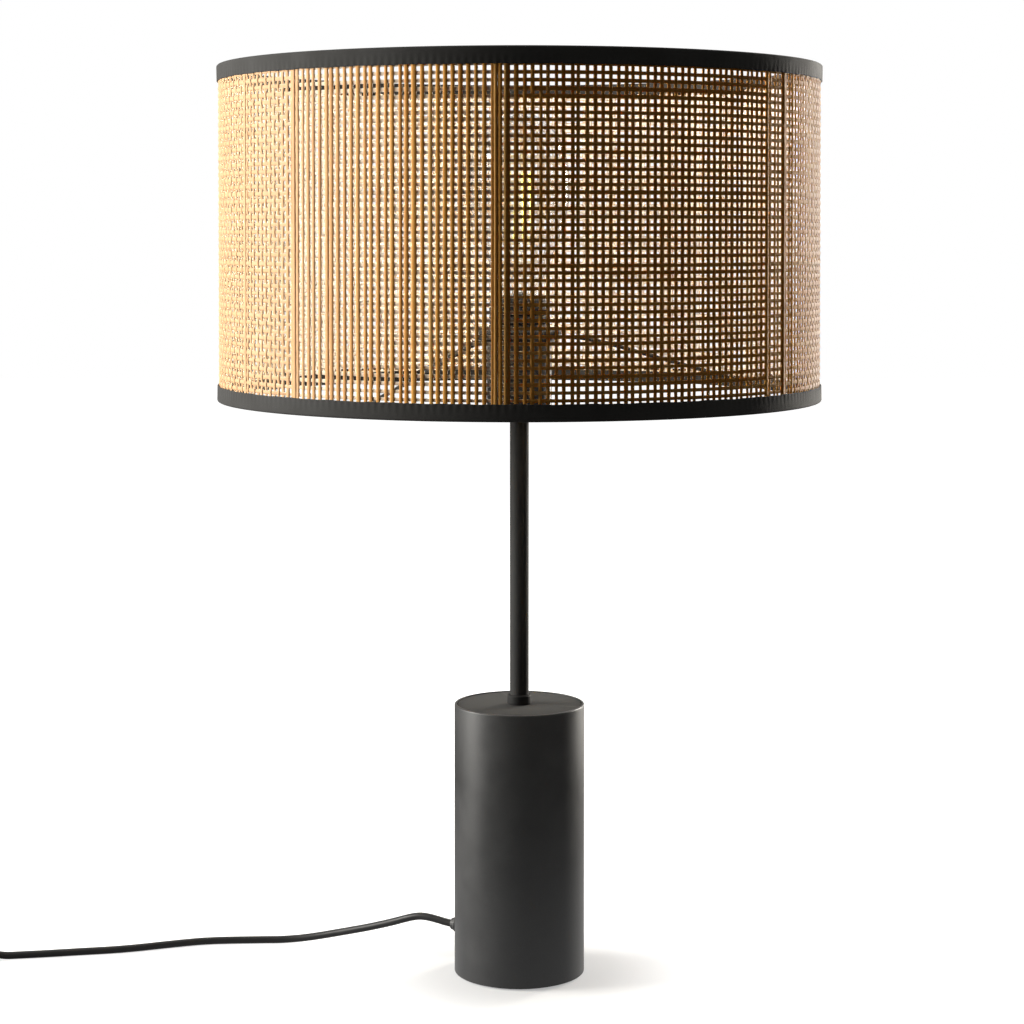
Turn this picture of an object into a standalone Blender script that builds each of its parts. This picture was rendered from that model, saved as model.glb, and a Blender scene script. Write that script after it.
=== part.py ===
"""Table lamp: a woven cane drum shade on a wire carrier, an E27 holder on a slim
stem, a tall weighted cylinder base, and a mains cord with an in-line switch,
its spare length wound in a coil, and a flat two-pin plug.

Metres, +Z up. The lamp's axis is the Z axis and it stands on the plane z = 0.
Its front faces -Y. Joint axes: the shade, the shade ring and the bulb turn
about Z; the bulb and the ring also travel along Z on their threads; the rocker
of the switch tilts about the cross axis of its housing.
"""
import math

import bmesh
import bpy
import numpy as np
from mathutils import Matrix, Vector

# ---------------------------------------------------------------- dimensions
GAP = 0.0003                    # clearance between touching pieces

BASE_R = 0.0412                 # cylinder base, outer radius
BASE_H = 0.1714                 # cylinder base, height
BASE_WALL = 0.0015
TOP_DISC_T = 0.0025
TOP_DISC_DROP = 0.0004          # the disc lies this far below the rim
PAD_T = 0.0037
PLATE_T = 0.0025
BALLAST_Z = 0.0640              # underside of the weight

ROD_R, ROD_BORE = 0.0050, 0.0038
ROD_Z0, ROD_Z1 = 0.0505, 0.3665
STEM_R, STEM_BORE = 0.0060, 0.0053
COLLAR_R, COLLAR_H = 0.0076, 0.0059

CUP_Z0, CUP_Z1, CUP_R = 0.3563, 0.4000, 0.0205
SKIRT_Z0, SKIRT_Z1 = 0.4003, 0.4300
SKIRT_R, SKIRT_BORE, SHOULDER_R = 0.0192, 0.0148, 0.0232
SHOULDER_H = 0.0029

CARRIER_Z, CARRIER_T = 0.4035, 0.0014
CARRIER_R, CARRIER_BORE = 0.0290, 0.0198
RING_WASHER_T = 0.0005
SHADE_RING_R, SHADE_RING_H = 0.0275, 0.0030

SHADE_R = 0.1900                # outside of the trim tape
SHADE_Z0, SHADE_Z1 = 0.3652, 0.5741
TAPE_T = 0.0007
TAPE_OUT, TAPE_IN = 0.0100, 0.0075   # widths of the tape outside and inside
CANE_RO, CANE_RI = 0.1889, 0.1876
RIM_WIRE_R, RIM_RING_R = 0.0012, 0.1861
ARM_R = 0.00125
ARM_ANGLES = (-3.0, 117.0, 237.0)
# height of an arm over its distance from the axis
ARM_PROFILE = ((0.0293, 0.4042), (0.0400, 0.4034), (0.0560, 0.4002), (0.0725, 0.3956),
               (0.0905, 0.3906), (0.1080, 0.3857), (0.1230, 0.3815), (0.1400, 0.3768),
               (0.1530, 0.3736), (0.1680, 0.3702), (0.1841, 0.3680))

BULB_TIP = 0.4038               # lowest point of the lamp's centre contact
BULB_TOP = 0.5470
FIL_R = 0.0010                  # one filament stick
FIL_ANGLES = (-20.0, 70.0, 160.0, 250.0)

CORD_D = 0.0047
CORD_LENGTH = 1.80
EXIT_ANGLE = 157.6              # direction of the cord outlet about Z, degrees
EXIT_Z = 0.0250
EXIT_R = 0.0468                 # outer face of the grommet
# way points of the cord from the outlet to the switch
LEAD = ((-0.0472, 0.0195, 0.0254), (-0.0560, 0.0231, 0.0269), (-0.0644, 0.0265, 0.0272),
        (-0.0723, 0.0298, 0.0251), (-0.0803, 0.0331, 0.0221), (-0.0964, 0.0397, 0.0166),
        (-0.1125, 0.0462, 0.0118), (-0.1288, 0.0522, 0.0073), (-0.1453, 0.0566, 0.0038),
        (-0.1610, 0.0580, 0.00245), (-0.1768, 0.0575, 0.00235), (-0.1926, 0.0566, 0.00235),
        (-0.2082, 0.0545, 0.00235), (-0.2235, 0.0498, 0.00235), (-0.2383, 0.0443, 0.00235),
        (-0.2531, 0.0389, 0.00235), (-0.2682, 0.0349, 0.00235), (-0.2834, 0.0320, 0.00235),
        (-0.2985, 0.0289, 0.00235), (-0.3134, 0.0261, 0.00235))
SWITCH_C = (-0.3840, 0.0143)    # middle of the switch housing
SWITCH_HEADING = 189.5          # direction of the cord through it, degrees
SWITCH_L, SWITCH_W = 0.0620, 0.0240
SWITCH_SPLIT, SWITCH_H = 0.0086, 0.0172
SWITCH_AXIS_Z = 0.0070          # height of the cord in the housing
ROCKER_TILT = 7.0
COIL_C = (-0.4360, -0.0500)
COIL_TURNS = 7.25
COIL_STEP = CORD_D * 1.03
PLUG_X, PLUG_Z = -0.4090, 0.00685    # rear end of the plug, height of its axis
PIN_L, PIN_R, PIN_GAP = 0.0190, 0.0020, 0.0186

# ------------------------------------------------------------------- cleaning
for old in list(bpy.data.objects):
    bpy.data.objects.remove(old, do_unlink=True)
for pool in (bpy.data.meshes, bpy.data.curves, bpy.data.materials):
    for block in list(pool):
        pool.remove(block)


# ------------------------------------------------------------------ materials
def material(name, colour, rough, metal=0.0, alpha=1.0):
    m = bpy.data.materials.new(name)
    m.use_nodes = True
    b = m.node_tree.nodes["Principled BSDF"]
    b.inputs["Base Color"].default_value = (*colour, 1.0)
    b.inputs["Roughness"].default_value = rough
    b.inputs["Metallic"].default_value = metal
    b.inputs["Alpha"].default_value = alpha
    m.diffuse_color = (*colour, alpha)
    return m


COAT = material("black_powder_coat", (0.020, 0.020, 0.021), 0.48, 0.2)
BLACK_STEEL = material("black_lacquered_steel", (0.018, 0.018, 0.019), 0.35, 0.4)
ZINC = material("zinc_plated_steel", (0.55, 0.55, 0.53), 0.35, 1.0)
CONCRETE = material("cast_weight", (0.32, 0.31, 0.29), 0.9)
FELT = material("foot_foam", (0.015, 0.015, 0.015), 0.95)
RUBBER = material("grommet_rubber", (0.018, 0.018, 0.018), 0.6)
PVC = material("cord_pvc", (0.016, 0.016, 0.017), 0.45)
CORE_A = material("core_brown", (0.12, 0.045, 0.015), 0.4)
CORE_B = material("core_blue", (0.015, 0.05, 0.25), 0.4)
BAKELITE = material("holder_black", (0.015, 0.015, 0.016), 0.4)
PORCELAIN = material("porcelain", (0.80, 0.78, 0.72), 0.3)
BRASS = material("brass", (0.70, 0.50, 0.20), 0.3, 1.0)
NICKEL = material("nickel", (0.62, 0.60, 0.56), 0.25, 1.0)
GLASS = material("clear_glass", (0.95, 0.97, 0.98), 0.03, 0.0, 0.25)
VITRITE = material("black_glass", (0.01, 0.01, 0.01), 0.2)
PHOSPHOR = material("filament_phosphor", (0.90, 0.75, 0.08), 0.6)
CANE = material("woven_cane", (0.60, 0.37, 0.17), 0.55)
TAPE = material("trim_tape", (0.017, 0.017, 0.018), 0.75)
WIRE = material("carrier_wire", (0.02, 0.02, 0.02), 0.4, 0.3)
PLASTIC = material("switch_plastic", (0.015, 0.015, 0.016), 0.38)


# -------------------------------------------------------------------- helpers
def finish(obj, mat, parent=None, smooth=True, cutter=False):
    obj.data.materials.clear()
    if mat:
        obj.data.materials.append(mat)
    bpy.context.scene.collection.objects.link(obj)
    if parent:
        obj.parent = parent
    if smooth and hasattr(obj.data, "polygons"):
        for p in obj.data.polygons:
            p.use_smooth = True
    if cutter:
        obj.hide_render = True
        obj.display_type = "WIRE"
    return obj


def from_bmesh(name, bm):
    bmesh.ops.recalc_face_normals(bm, faces=bm.faces[:])
    me = bpy.data.meshes.new(name)
    bm.to_mesh(me)
    bm.free()
    return bpy.data.objects.new(name, me)


def lathe(name, profile, mat, seg=48, loc=(0, 0, 0), rot=None, parent=None, shape=None, cutter=False):
    """A profile of (radius, height) points spun about the local Z axis."""
    bm = bmesh.new()
    vs = [bm.verts.new((r, 0.0, z)) for r, z in profile]
    es = [bm.edges.new(pair) for pair in zip(vs, vs[1:])]
    if not (profile[0][0] == 0 and profile[-1][0] == 0):
        es.append(bm.edges.new((vs[-1], vs[0])))
    bmesh.ops.spin(bm, geom=vs + es, cent=(0, 0, 0), axis=(0, 0, 1), angle=2 * math.pi,
                   steps=seg, use_merge=True, use_duplicate=False)
    bmesh.ops.remove_doubles(bm, verts=bm.verts[:], dist=1e-6)
    if shape:
        for v in bm.verts:
            shape(v)
    obj = from_bmesh(name, bm)
    obj.location = loc
    if rot is not None:
        obj.rotation_euler = rot
    return finish(obj, mat, parent, cutter=cutter)


def pipe(name, r_out, r_in, z0, z1, mat, seg=48, chamfer=0.0, **kw):
    """A plain tube between two heights, its origin on the axis at its foot."""
    h, c = z1 - z0, chamfer
    if c:
        prof = [(r_in, 0), (r_out - c, 0), (r_out, c), (r_out, h - c), (r_out - c, h), (r_in, h)]
    else:
        prof = [(r_in, 0), (r_out, 0), (r_out, h), (r_in, h)]
    return lathe(name, prof, mat, seg, loc=(0, 0, z0), **kw)


def disc(name, r, z0, z1, mat, seg=48, chamfer=0.0, **kw):
    h, c = z1 - z0, chamfer
    prof = [(0, 0), (r - c, 0)] + ([(r, c), (r, h - c)] if c else [(r, h)]) + ([(r - c, h)] if c else []) + [(0, h)]
    return lathe(name, prof, mat, seg, loc=(0, 0, z0), **kw)


def prism(name, outline, z0, z1, mat, loc=(0, 0, 0), parent=None, bevel=0.0, segments=2, cutter=False):
    """A flat outline of (x, y) points pulled up between two heights."""
    bm = bmesh.new()
    face = bm.faces.new([bm.verts.new((x, y, z0)) for x, y in outline])
    up = bmesh.ops.extrude_face_region(bm, geom=[face])
    bmesh.ops.translate(bm, vec=(0, 0, z1 - z0), verts=[g for g in up["geom"] if isinstance(g, bmesh.types.BMVert)])
    obj = from_bmesh(name, bm)
    obj.location = loc
    finish(obj, mat, parent, smooth=False, cutter=cutter)
    if bevel:
        m = obj.modifiers.new("edges", "BEVEL")
        m.width, m.segments, m.limit_method, m.angle_limit = bevel, segments, "ANGLE", math.radians(50)
    return obj


def box(name, size, loc, mat=None, parent=None, bevel=0.0, cutter=False):
    x, y = size[0] / 2, size[1] / 2
    return prism(name, [(-x, -y), (x, -y), (x, y), (-x, y)], -size[2] / 2, size[2] / 2, mat, loc, parent, bevel, cutter=cutter)


def rounded(lx, ly, rad, n=6):
    """Outline of a rectangle with round corners, centred on the origin."""
    pts = []
    for cx, cy, a0 in ((1, 1, 0), (-1, 1, 90), (-1, -1, 180), (1, -1, 270)):
        for k in range(n + 1):
            a = math.radians(a0 + 90 * k / n)
            pts.append((cx * (lx / 2 - rad) + rad * math.cos(a), cy * (ly / 2 - rad) + rad * math.sin(a)))
    return pts


def cut(obj, tool):
    m = obj.modifiers.new("cut_" + tool.name, "BOOLEAN")
    m.operation, m.object, m.solver = "DIFFERENCE", tool, "EXACT"


def rod_cutter(name, radius, p0, p1, seg=24, parent=None):
    """A hidden round bar from p0 to p1."""
    p0, p1 = Vector(p0), Vector(p1)
    d = p1 - p0
    obj = lathe(name, [(0, 0), (radius, 0), (radius, d.length), (0, d.length)], None, seg, parent=parent, cutter=True)
    obj.location = p0
    obj.rotation_euler = d.to_track_quat("Z", "Y").to_euler()
    return obj


def smooth_line(points, step):
    """Points at an even spacing on a smooth curve through the given ones."""
    p = np.array(points, float)
    t = np.concatenate([[0], np.cumsum(np.linalg.norm(np.diff(p, axis=0), axis=1) ** 0.5)])
    n = len(p)
    a = np.zeros((n, n))
    b = np.zeros((n, 3))
    a[0, 0] = a[-1, -1] = 1.0
    for i in range(1, n - 1):
        h0, h1 = t[i] - t[i - 1], t[i + 1] - t[i]
        a[i, i - 1], a[i, i], a[i, i + 1] = h0, 2 * (h0 + h1), h1
        b[i] = 6 * ((p[i + 1] - p[i]) / h1 - (p[i] - p[i - 1]) / h0)
    m = np.linalg.solve(a, b)
    fine = []
    for i in range(n - 1):
        h = t[i + 1] - t[i]
        for u in np.linspace(0, 1, 40, endpoint=False):
            s0, s1 = (1 - u) * h, u * h
            fine.append(m[i] * s0 ** 3 / (6 * h) + m[i + 1] * s1 ** 3 / (6 * h)
                        + (p[i] / h - m[i] * h / 6) * s0 + (p[i + 1] / h - m[i + 1] * h / 6) * s1)
    fine.append(p[-1])
    fine = np.array(fine)
    d = np.concatenate([[0], np.cumsum(np.linalg.norm(np.diff(fine, axis=0), axis=1))])
    k = max(2, int(round(d[-1] / step)) + 1)
    at = np.linspace(0, d[-1], k)
    return np.stack([np.interp(at, d, fine[:, c]) for c in range(3)], 1), d[-1]


def lying(points):
    """No point of a cord sinks into what it lies on."""
    return [(p[0], p[1], max(p[2], LAY)) for p in points]


def tube(name, points, radius, mat, resolution=2, parent=None):
    cu = bpy.data.curves.new(name, "CURVE")
    cu.dimensions = "3D"
    cu.bevel_depth = radius
    cu.bevel_resolution = resolution
    cu.use_fill_caps = True
    cu.render_resolution_u = 0
    cu.resolution_u = 1
    sp = cu.splines.new("POLY")
    sp.points.add(len(points) - 1)
    for q, v in zip(sp.points, points):
        q.co = (*map(float, v), 1.0)
    return finish(bpy.data.objects.new(name, cu), mat, parent, smooth=False)


def empty(name, loc, heading=0.0):
    e = bpy.data.objects.new(name, None)
    e.location = loc
    e.rotation_euler = (0, 0, math.radians(heading))
    e.empty_display_size = 0.02
    bpy.context.scene.collection.objects.link(e)
    return e


# ----------------------------------------------------------------------- base
rim_c = 0.0009
tube_in = BASE_R - BASE_WALL
base_tube = lathe("base_tube", [
    (tube_in, 0.0), (BASE_R - 0.0005, 0.0), (BASE_R, 0.0005), (BASE_R, BASE_H - 0.0010 - rim_c),
    (BASE_R - 0.00026, BASE_H - 0.0010 - 0.00026 * 1.1), (BASE_R - rim_c, BASE_H - 0.0010),
    (tube_in, BASE_H - 0.0010)], COAT, 48, loc=(0, 0, 0.0010))
ea = math.radians(EXIT_ANGLE)
out = Vector((math.cos(ea), math.sin(ea), 0))
cut(base_tube, rod_cutter("cut_outlet", 0.0041, out * 0.030 + Vector((0, 0, EXIT_Z)), out * 0.055 + Vector((0, 0, EXIT_Z))))

disc("foot_pad", 0.0385, 0.0, PAD_T, FELT, 40, chamfer=0.0004)
disc("base_plate", tube_in - 0.0004, PAD_T + GAP, PAD_T + GAP + PLATE_T, ZINC, 48)
disc_top = BASE_H - TOP_DISC_DROP
pipe("top_disc", tube_in - 0.0004, ROD_R + GAP, disc_top - TOP_DISC_T, disc_top, COAT, 48)
pipe("ballast", tube_in - 0.0005, ROD_R + 0.0006, BALLAST_Z, disc_top - TOP_DISC_T - GAP, CONCRETE, 48)
pipe("tie_rod", ROD_R, ROD_BORE, ROD_Z0, ROD_Z1, ZINC, 24)
pipe("bottom_washer", 0.0150, ROD_R + GAP, 0.0612, 0.0637, ZINC, 24)


def nut(name, across, bore, z0, z1, mat):
    r = across / math.sqrt(3)
    hexagon = [(r * math.cos(math.radians(60 * k + 30)), r * math.sin(math.radians(60 * k + 30))) for k in range(6)]
    n = prism(name, hexagon, 0.0, z1 - z0, mat, loc=(0, 0, z0))
    cut(n, rod_cutter("cut_" + name, bore, (0, 0, z0 - 0.002), (0, 0, z1 + 0.002), 24))
    return n


nut("bottom_nut", 0.0170, ROD_R + GAP, 0.0529, 0.0609, ZINC)
pipe("stem_tube", STEM_R, STEM_BORE, disc_top + GAP, CUP_Z0 - GAP, COAT, 28)
lathe("stem_collar", [
    (STEM_R + GAP, 0), (COLLAR_R - 0.0003, 0), (COLLAR_R, 0.0003), (COLLAR_R, COLLAR_H - 0.0016),
    (COLLAR_R - 0.0004, COLLAR_H - 0.0008), (STEM_R + 0.0007, COLLAR_H), (STEM_R + GAP, COLLAR_H)],
    COAT, 28, loc=(0, 0, disc_top + GAP))

# cord outlet: a push-in grommet, built along the outlet direction
grommet_rot = out.to_track_quat("Z", "Y").to_euler()
a0 = 0.0375                     # distance of its inner end from the axis
lathe("cord_grommet", [
    (CORD_D / 2 + GAP, 0), (0.0044, 0), (0.0047, 0.0003), (0.0047, 0.0012), (0.0044, 0.0015), (0.0037, 0.0015),
    (0.0037, 0.0040), (0.0050, 0.0040), (0.0051, 0.0043), (0.0051, 0.0063), (0.0047, 0.0070),
    (0.0041, 0.0074), (0.0036, EXIT_R - a0), (CORD_D / 2 + GAP, EXIT_R - a0)], RUBBER, 20,
    loc=out * a0 + Vector((0, 0, EXIT_Z)), rot=grommet_rot)

# --------------------------------------------------------------- lamp holder
cup_h = CUP_Z1 - CUP_Z0
lathe("holder_cup", [
    (ROD_R + GAP, 0), (CUP_R - 0.0025, 0), (CUP_R - 0.0007, 0.0007), (CUP_R, 0.0025), (CUP_R, cup_h),
    (CUP_R - 0.0015, cup_h), (CUP_R - 0.0015, 0.0030), (CUP_R - 0.0027, 0.0018), (ROD_R + GAP, 0.0018)],
    BLACK_STEEL, 36, loc=(0, 0, CUP_Z0))
nut("holder_nut", 0.0140, ROD_R + GAP, CUP_Z0 + 0.0021, CUP_Z0 + 0.0061, ZINC)
block_z0, block_z1 = 0.3860, 0.3997
block_ = disc("terminal_block", CUP_R - 0.0022, block_z0, block_z1, PORCELAIN, 28, chamfer=0.0008)
for i, sx in enumerate((-1, 1), 1):
    cut(block_, rod_cutter("cut_terminal_%d" % i, 0.0018, (sx * 0.0105, 0, block_z0 - 0.004), (sx * 0.0105, 0, block_z0 + 0.0060), 16))
    lathe("terminal_screw_%d" % i, [(0, 0), (0.0027, 0), (0.0030, 0.0004), (0.0030, 0.0022), (0.0015, 0.0022), (0.0015, 0.0075), (0, 0.0075)],
          BRASS, 16, loc=(sx * 0.0105, 0, block_z0 - GAP - 0.0022))
pipe("thread_shell", 0.0142, 0.0136, 0.4000, 0.4275, NICKEL, 28)
lathe("centre_contact", [(0, 0), (0.0042, 0), (0.0042, 0.0006), (0.0026, 0.0012), (0.0026, 0.0030), (0.0020, 0.0034), (0, 0.0034)],
      BRASS, 20, loc=(0, 0, 0.4000))
sh = SKIRT_Z1 - SKIRT_Z0
lathe("holder_skirt", [
    (SKIRT_BORE, 0), (SHOULDER_R - 0.0003, 0), (SHOULDER_R, 0.0003), (SHOULDER_R, SHOULDER_H - 0.0003),
    (SHOULDER_R - 0.0003, SHOULDER_H), (SKIRT_R, SHOULDER_H), (SKIRT_R, sh - 0.0030), (SKIRT_R - 0.0014, sh - 0.0006), (SKIRT_R - 0.0020, sh),
    (SKIRT_BORE, sh)], BAKELITE, 36, loc=(0, 0, SKIRT_Z0))

# the cord inside the lamp: through the grommet, round a wide bend, up the rod
bend, inner = 0.0200, []
for r in (EXIT_R - GAP, 0.0400, 0.0300, bend):
    inner.append(out * r + Vector((0, 0, EXIT_Z)))
for k in range(1, 8):
    a = math.radians(90 * k / 7)
    inner.append(out * (bend * (1 - math.sin(a))) + Vector((0, 0, EXIT_Z + bend * (1 - math.cos(a)))))
for z in (0.0600, 0.1200, 0.2000, 0.2800, 0.3500, 0.3720):
    inner.append(Vector((0, 0, z)))
tube("inner_cord", inner, CORD_D / 2, PVC, 2)
for i, (sx, m) in enumerate(((-1, CORE_A), (1, CORE_B)), 1):
    way = [(sx * 0.0012, 0, 0.3724), (sx * 0.0016, 0, 0.3745), (sx * 0.0045, 0, 0.3768), (sx * 0.0085, 0, 0.3786),
           (sx * 0.0103, 0, 0.3806), (sx * 0.0105, 0, 0.3832)]
    tube("core_wire_%d" % i, smooth_line(way, 0.0015)[0], 0.0009, m, 2)

# ---------------------------------------------------------------- shade ring
turn_axis = empty("shade_ring_axis", (0, 0, CARRIER_Z))
z = CARRIER_T + GAP
pipe("ring_washer", 0.0262, CARRIER_BORE, CARRIER_Z + z, CARRIER_Z + z + RING_WASHER_T, ZINC, 36)
z += RING_WASHER_T + GAP


def knurl(v):
    r = math.hypot(v.co.x, v.co.y)
    if r > SHADE_RING_R - 0.0004 and round(math.atan2(v.co.y, v.co.x) / (2 * math.pi / 60)) % 2:
        f = (r - 0.0007) / r
        v.co.x *= f
        v.co.y *= f


lathe("shade_ring", [
    (SKIRT_R + 0.0004, 0), (SHADE_RING_R - 0.0008, 0), (SHADE_RING_R, 0.0006), (SHADE_RING_R, SHADE_RING_H - 0.0008),
    (SHADE_RING_R - 0.0012, SHADE_RING_H), (SKIRT_R + 0.0012, SHADE_RING_H), (SKIRT_R + 0.0004, SHADE_RING_H - 0.0006)],
    BAKELITE, 60, loc=(0, 0, z), parent=turn_axis, shape=knurl)

# ----------------------------------------------------------------------- bulb
bulb_axis = empty("bulb_axis", (0, 0, BULB_TIP))
lathe("bulb_contact", [(0, 0), (0.0030, 0.0002), (0.0044, 0.0009), (0.0044, 0.0014), (0, 0.0014)], NICKEL, 24, parent=bulb_axis)
lathe("bulb_insulator", [(0, 0.0017), (0.0062, 0.0017), (0.0070, 0.0022), (0.0121, 0.0045), (0.0121, 0.0050), (0, 0.0050)],
      VITRITE, 24, parent=bulb_axis)
lathe("bulb_cap", [
    (0.0110, 0.0053), (0.0122, 0.0053), (0.0130, 0.0068), (0.0130, 0.0260), (0.0134, 0.0270), (0.0129, 0.0270),
    (0.0125, 0.0260), (0.0125, 0.0074), (0.0110, 0.0060)], NICKEL, 28, parent=bulb_axis)


def teardrop(offset):
    """Outline of the bulb's glass, from the neck to the crown."""
    zt = BULB_TOP - BULB_TIP
    key = ((0.0121, 0.0130), (0.0121, 0.0262), (0.0128, 0.0300), (0.0150, 0.0370), (0.0190, 0.0470), (0.0236, 0.0580),
           (0.0278, 0.0700), (0.0309, 0.0820), (0.0320, 0.0940), (0.0312, 0.1070), (0.0284, 0.1190),
           (0.0226, 0.1300), (0.0130, 0.1388), (0.0, zt))
    if not offset:
        return list(key)
    inside = []
    for i, (r, z_) in enumerate(key):
        p, q = key[max(i - 1, 0)], key[min(i + 1, len(key) - 1)]
        t = Vector((q[0] - p[0], q[1] - p[1])).normalized()
        inside.append((max(0.0, r - offset * t.y), z_ + offset * t.x) if 0 < i < len(key) - 1
                      else (r - offset, z_) if i == 0 else (0.0, z_ - offset))
    return inside[::-1]


lathe("bulb_glass", teardrop(0)[::-1] + teardrop(0.0008)[::-1], GLASS, 32, parent=bulb_axis)
lathe("bulb_stem", [
    (0, 0.0136), (0.0104, 0.0136), (0.0104, 0.0148), (0.0075, 0.0185), (0.0045, 0.0240), (0.0034, 0.0300), (0.0034, 0.0560),
    (0.0026, 0.0590), (0.0014, 0.0600), (0.0012, 0.1050), (0.0018, 0.1062), (0.0012, 0.1074), (0, 0.1078)],
    GLASS, 20, parent=bulb_axis)
fil_foot, fil_head = (0.0086, 0.4655 - BULB_TIP), (0.0070, 0.5080 - BULB_TIP)
for i, a in enumerate(FIL_ANGLES, 1):
    c, s = math.cos(math.radians(a)), math.sin(math.radians(a))
    tube("filament_%d" % i, [(fil_foot[0] * c, fil_foot[0] * s, fil_foot[1]), (fil_head[0] * c, fil_head[0] * s, fil_head[1])],
         FIL_R, PHOSPHOR, 2, parent=bulb_axis)
for i, pair in enumerate(((FIL_ANGLES[0], FIL_ANGLES[3]), (FIL_ANGLES[1], FIL_ANGLES[2])), 1):
    mid = math.radians((pair[0] + (pair[1] if pair[1] - pair[0] < 180 else pair[1] - 360)) / 2)
    way = []
    for a, order in ((pair[0], (0, 1)), (pair[1], (1, 0))):
        c, s = math.cos(math.radians(a)), math.sin(math.radians(a))
        legs = [(fil_foot[0] * c, fil_foot[0] * s, fil_foot[1] - 0.0004 - 0.0003),
                (0.0072 * c, 0.0072 * s, fil_foot[1] - 0.0040)]
        way += [legs[k] for k in order]
        if order == (0, 1):
            way.append((0.0042 * math.cos(mid), 0.0042 * math.sin(mid), fil_foot[1] - 0.0075))
    tube("bulb_lead_%d" % i, smooth_line(way, 0.0016)[0], 0.0004, NICKEL, 2, parent=bulb_axis)

# ---------------------------------------------------------------------- shade
shade_axis = empty("shade_axis", (0, 0, SHADE_Z0))
SEG = 60
tape_foot = GAP + 0.0011
lathe("cane_panel", [
    (CANE_RI, 0), (CANE_RO, 0), (CANE_RO, SHADE_Z1 - SHADE_Z0 - 2 * tape_foot), (CANE_RI, SHADE_Z1 - SHADE_Z0 - 2 * tape_foot)],
    CANE, SEG, loc=(0, 0, tape_foot), parent=shade_axis)
tape_in_r = SHADE_R - 0.0062    # inner face of the inner leg
fold = [(tape_in_r, TAPE_IN), (tape_in_r, 0.0), (SHADE_R - 0.0005, 0.0), (SHADE_R, 0.0005), (SHADE_R, TAPE_OUT),
        (SHADE_R - TAPE_T, TAPE_OUT), (SHADE_R - TAPE_T, TAPE_T), (tape_in_r + TAPE_T, TAPE_T), (tape_in_r + TAPE_T, TAPE_IN)]
bottom_trim = lathe("bottom_trim", fold, TAPE, SEG, parent=shade_axis)
lathe("top_trim", [(r, SHADE_Z1 - SHADE_Z0 - h) for r, h in fold], TAPE, SEG, parent=shade_axis)
wire_h = TAPE_T + GAP + 0.0002 + RIM_WIRE_R
for name, zc in (("bottom_wire_ring", wire_h), ("top_wire_ring", SHADE_Z1 - SHADE_Z0 - wire_h)):
    lathe(name, [(RIM_RING_R + RIM_WIRE_R * math.cos(math.radians(60 * k)), zc + RIM_WIRE_R * math.sin(math.radians(60 * k)))
                 for k in range(6)], WIRE, SEG, parent=shade_axis)
pipe("carrier_ring", CARRIER_R, CARRIER_BORE, CARRIER_Z, CARRIER_Z + CARRIER_T, WIRE, 40)
for i, a in enumerate(ARM_ANGLES, 1):
    c, s = math.cos(math.radians(a)), math.sin(math.radians(a))
    tube("carrier_arm_%d" % i, smooth_line([(r * c, r * s, z_ - SHADE_Z0) for r, z_ in ARM_PROFILE], 0.0075)[0],
         ARM_R, WIRE, 2, parent=shade_axis)
    notch = box("cut_notch_%d" % i, (0.0040, 2 * ARM_R + 0.0010, 0.0100), ((tape_in_r + 0.0001) * c, (tape_in_r + 0.0001) * s, 0.0062), parent=shade_axis, cutter=True)
    notch.rotation_euler = (0, 0, math.radians(a))
    cut(bottom_trim, notch)

# ----------------------------------------------------------------- mains cord
head = math.radians(SWITCH_HEADING)
ahead = Vector((math.cos(head), math.sin(head), 0))
switch_in = Vector((*SWITCH_C, SWITCH_AXIS_Z)) - ahead * SWITCH_L / 2
switch_out = Vector((*SWITCH_C, SWITCH_AXIS_Z)) + ahead * SWITCH_L / 2
coil_c = Vector((*COIL_C, 0))
LAY = CORD_D / 2 + 0.0001
RAMP = 0.0240
RISE = 0.92 * COIL_STEP         # height of the second layer over the first
TIE_ANGLE = 62.0


def ease(u, u0, u1):
    w = min(1.0, max(0.0, (u - u0) / (u1 - u0)))
    return w * w * (3 - 2 * w)


def coil_way(radius, turns=COIL_TURNS, per_turn=16):
    """The wound part: four turns on the floor from the outside in, three on top of them, then down outside."""
    rows = ((1.5, 0), (0.5, 0), (-0.5, 0), (-1.5, 0), (-1.0, 1), (0.0, 1), (1.0, 1), (2.0, 1), (2.6, 0))
    pts = []
    for k in range(int(round(turns * per_turn)) + 1):
        t = k / per_turn
        i = min(int(t), 7)
        u = t - i
        w = ease(u, 0.35, 0.65) if i == 3 else ease(u, 0.0, 0.25) if i == 7 else ease(u, 0.72, 1.0)
        off = rows[i][0] + (rows[i + 1][0] - rows[i][0]) * w
        up = rows[i][1] + (rows[i + 1][1] - rows[i][1]) * w
        a = math.pi + 2 * math.pi * t
        near_tie = (a - math.radians(TIE_ANGLE) + math.pi) % (2 * math.pi) - math.pi
        r = radius + COIL_STEP * off
        pts.append((COIL_C[0] + r * math.cos(a), COIL_C[1] + r * math.sin(a),
                    LAY + RISE * up + 0.0009 * math.exp(-(near_tie / 0.55) ** 2)))
    return pts


def ramp_point(p, along, share):
    """A point on the slope between the table and a fitting's cord entry."""
    return (p[0] + along[0], p[1] + along[1], LAY + (p[2] - LAY) * 0.5 * (1 + math.cos(math.pi * share)))


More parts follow.
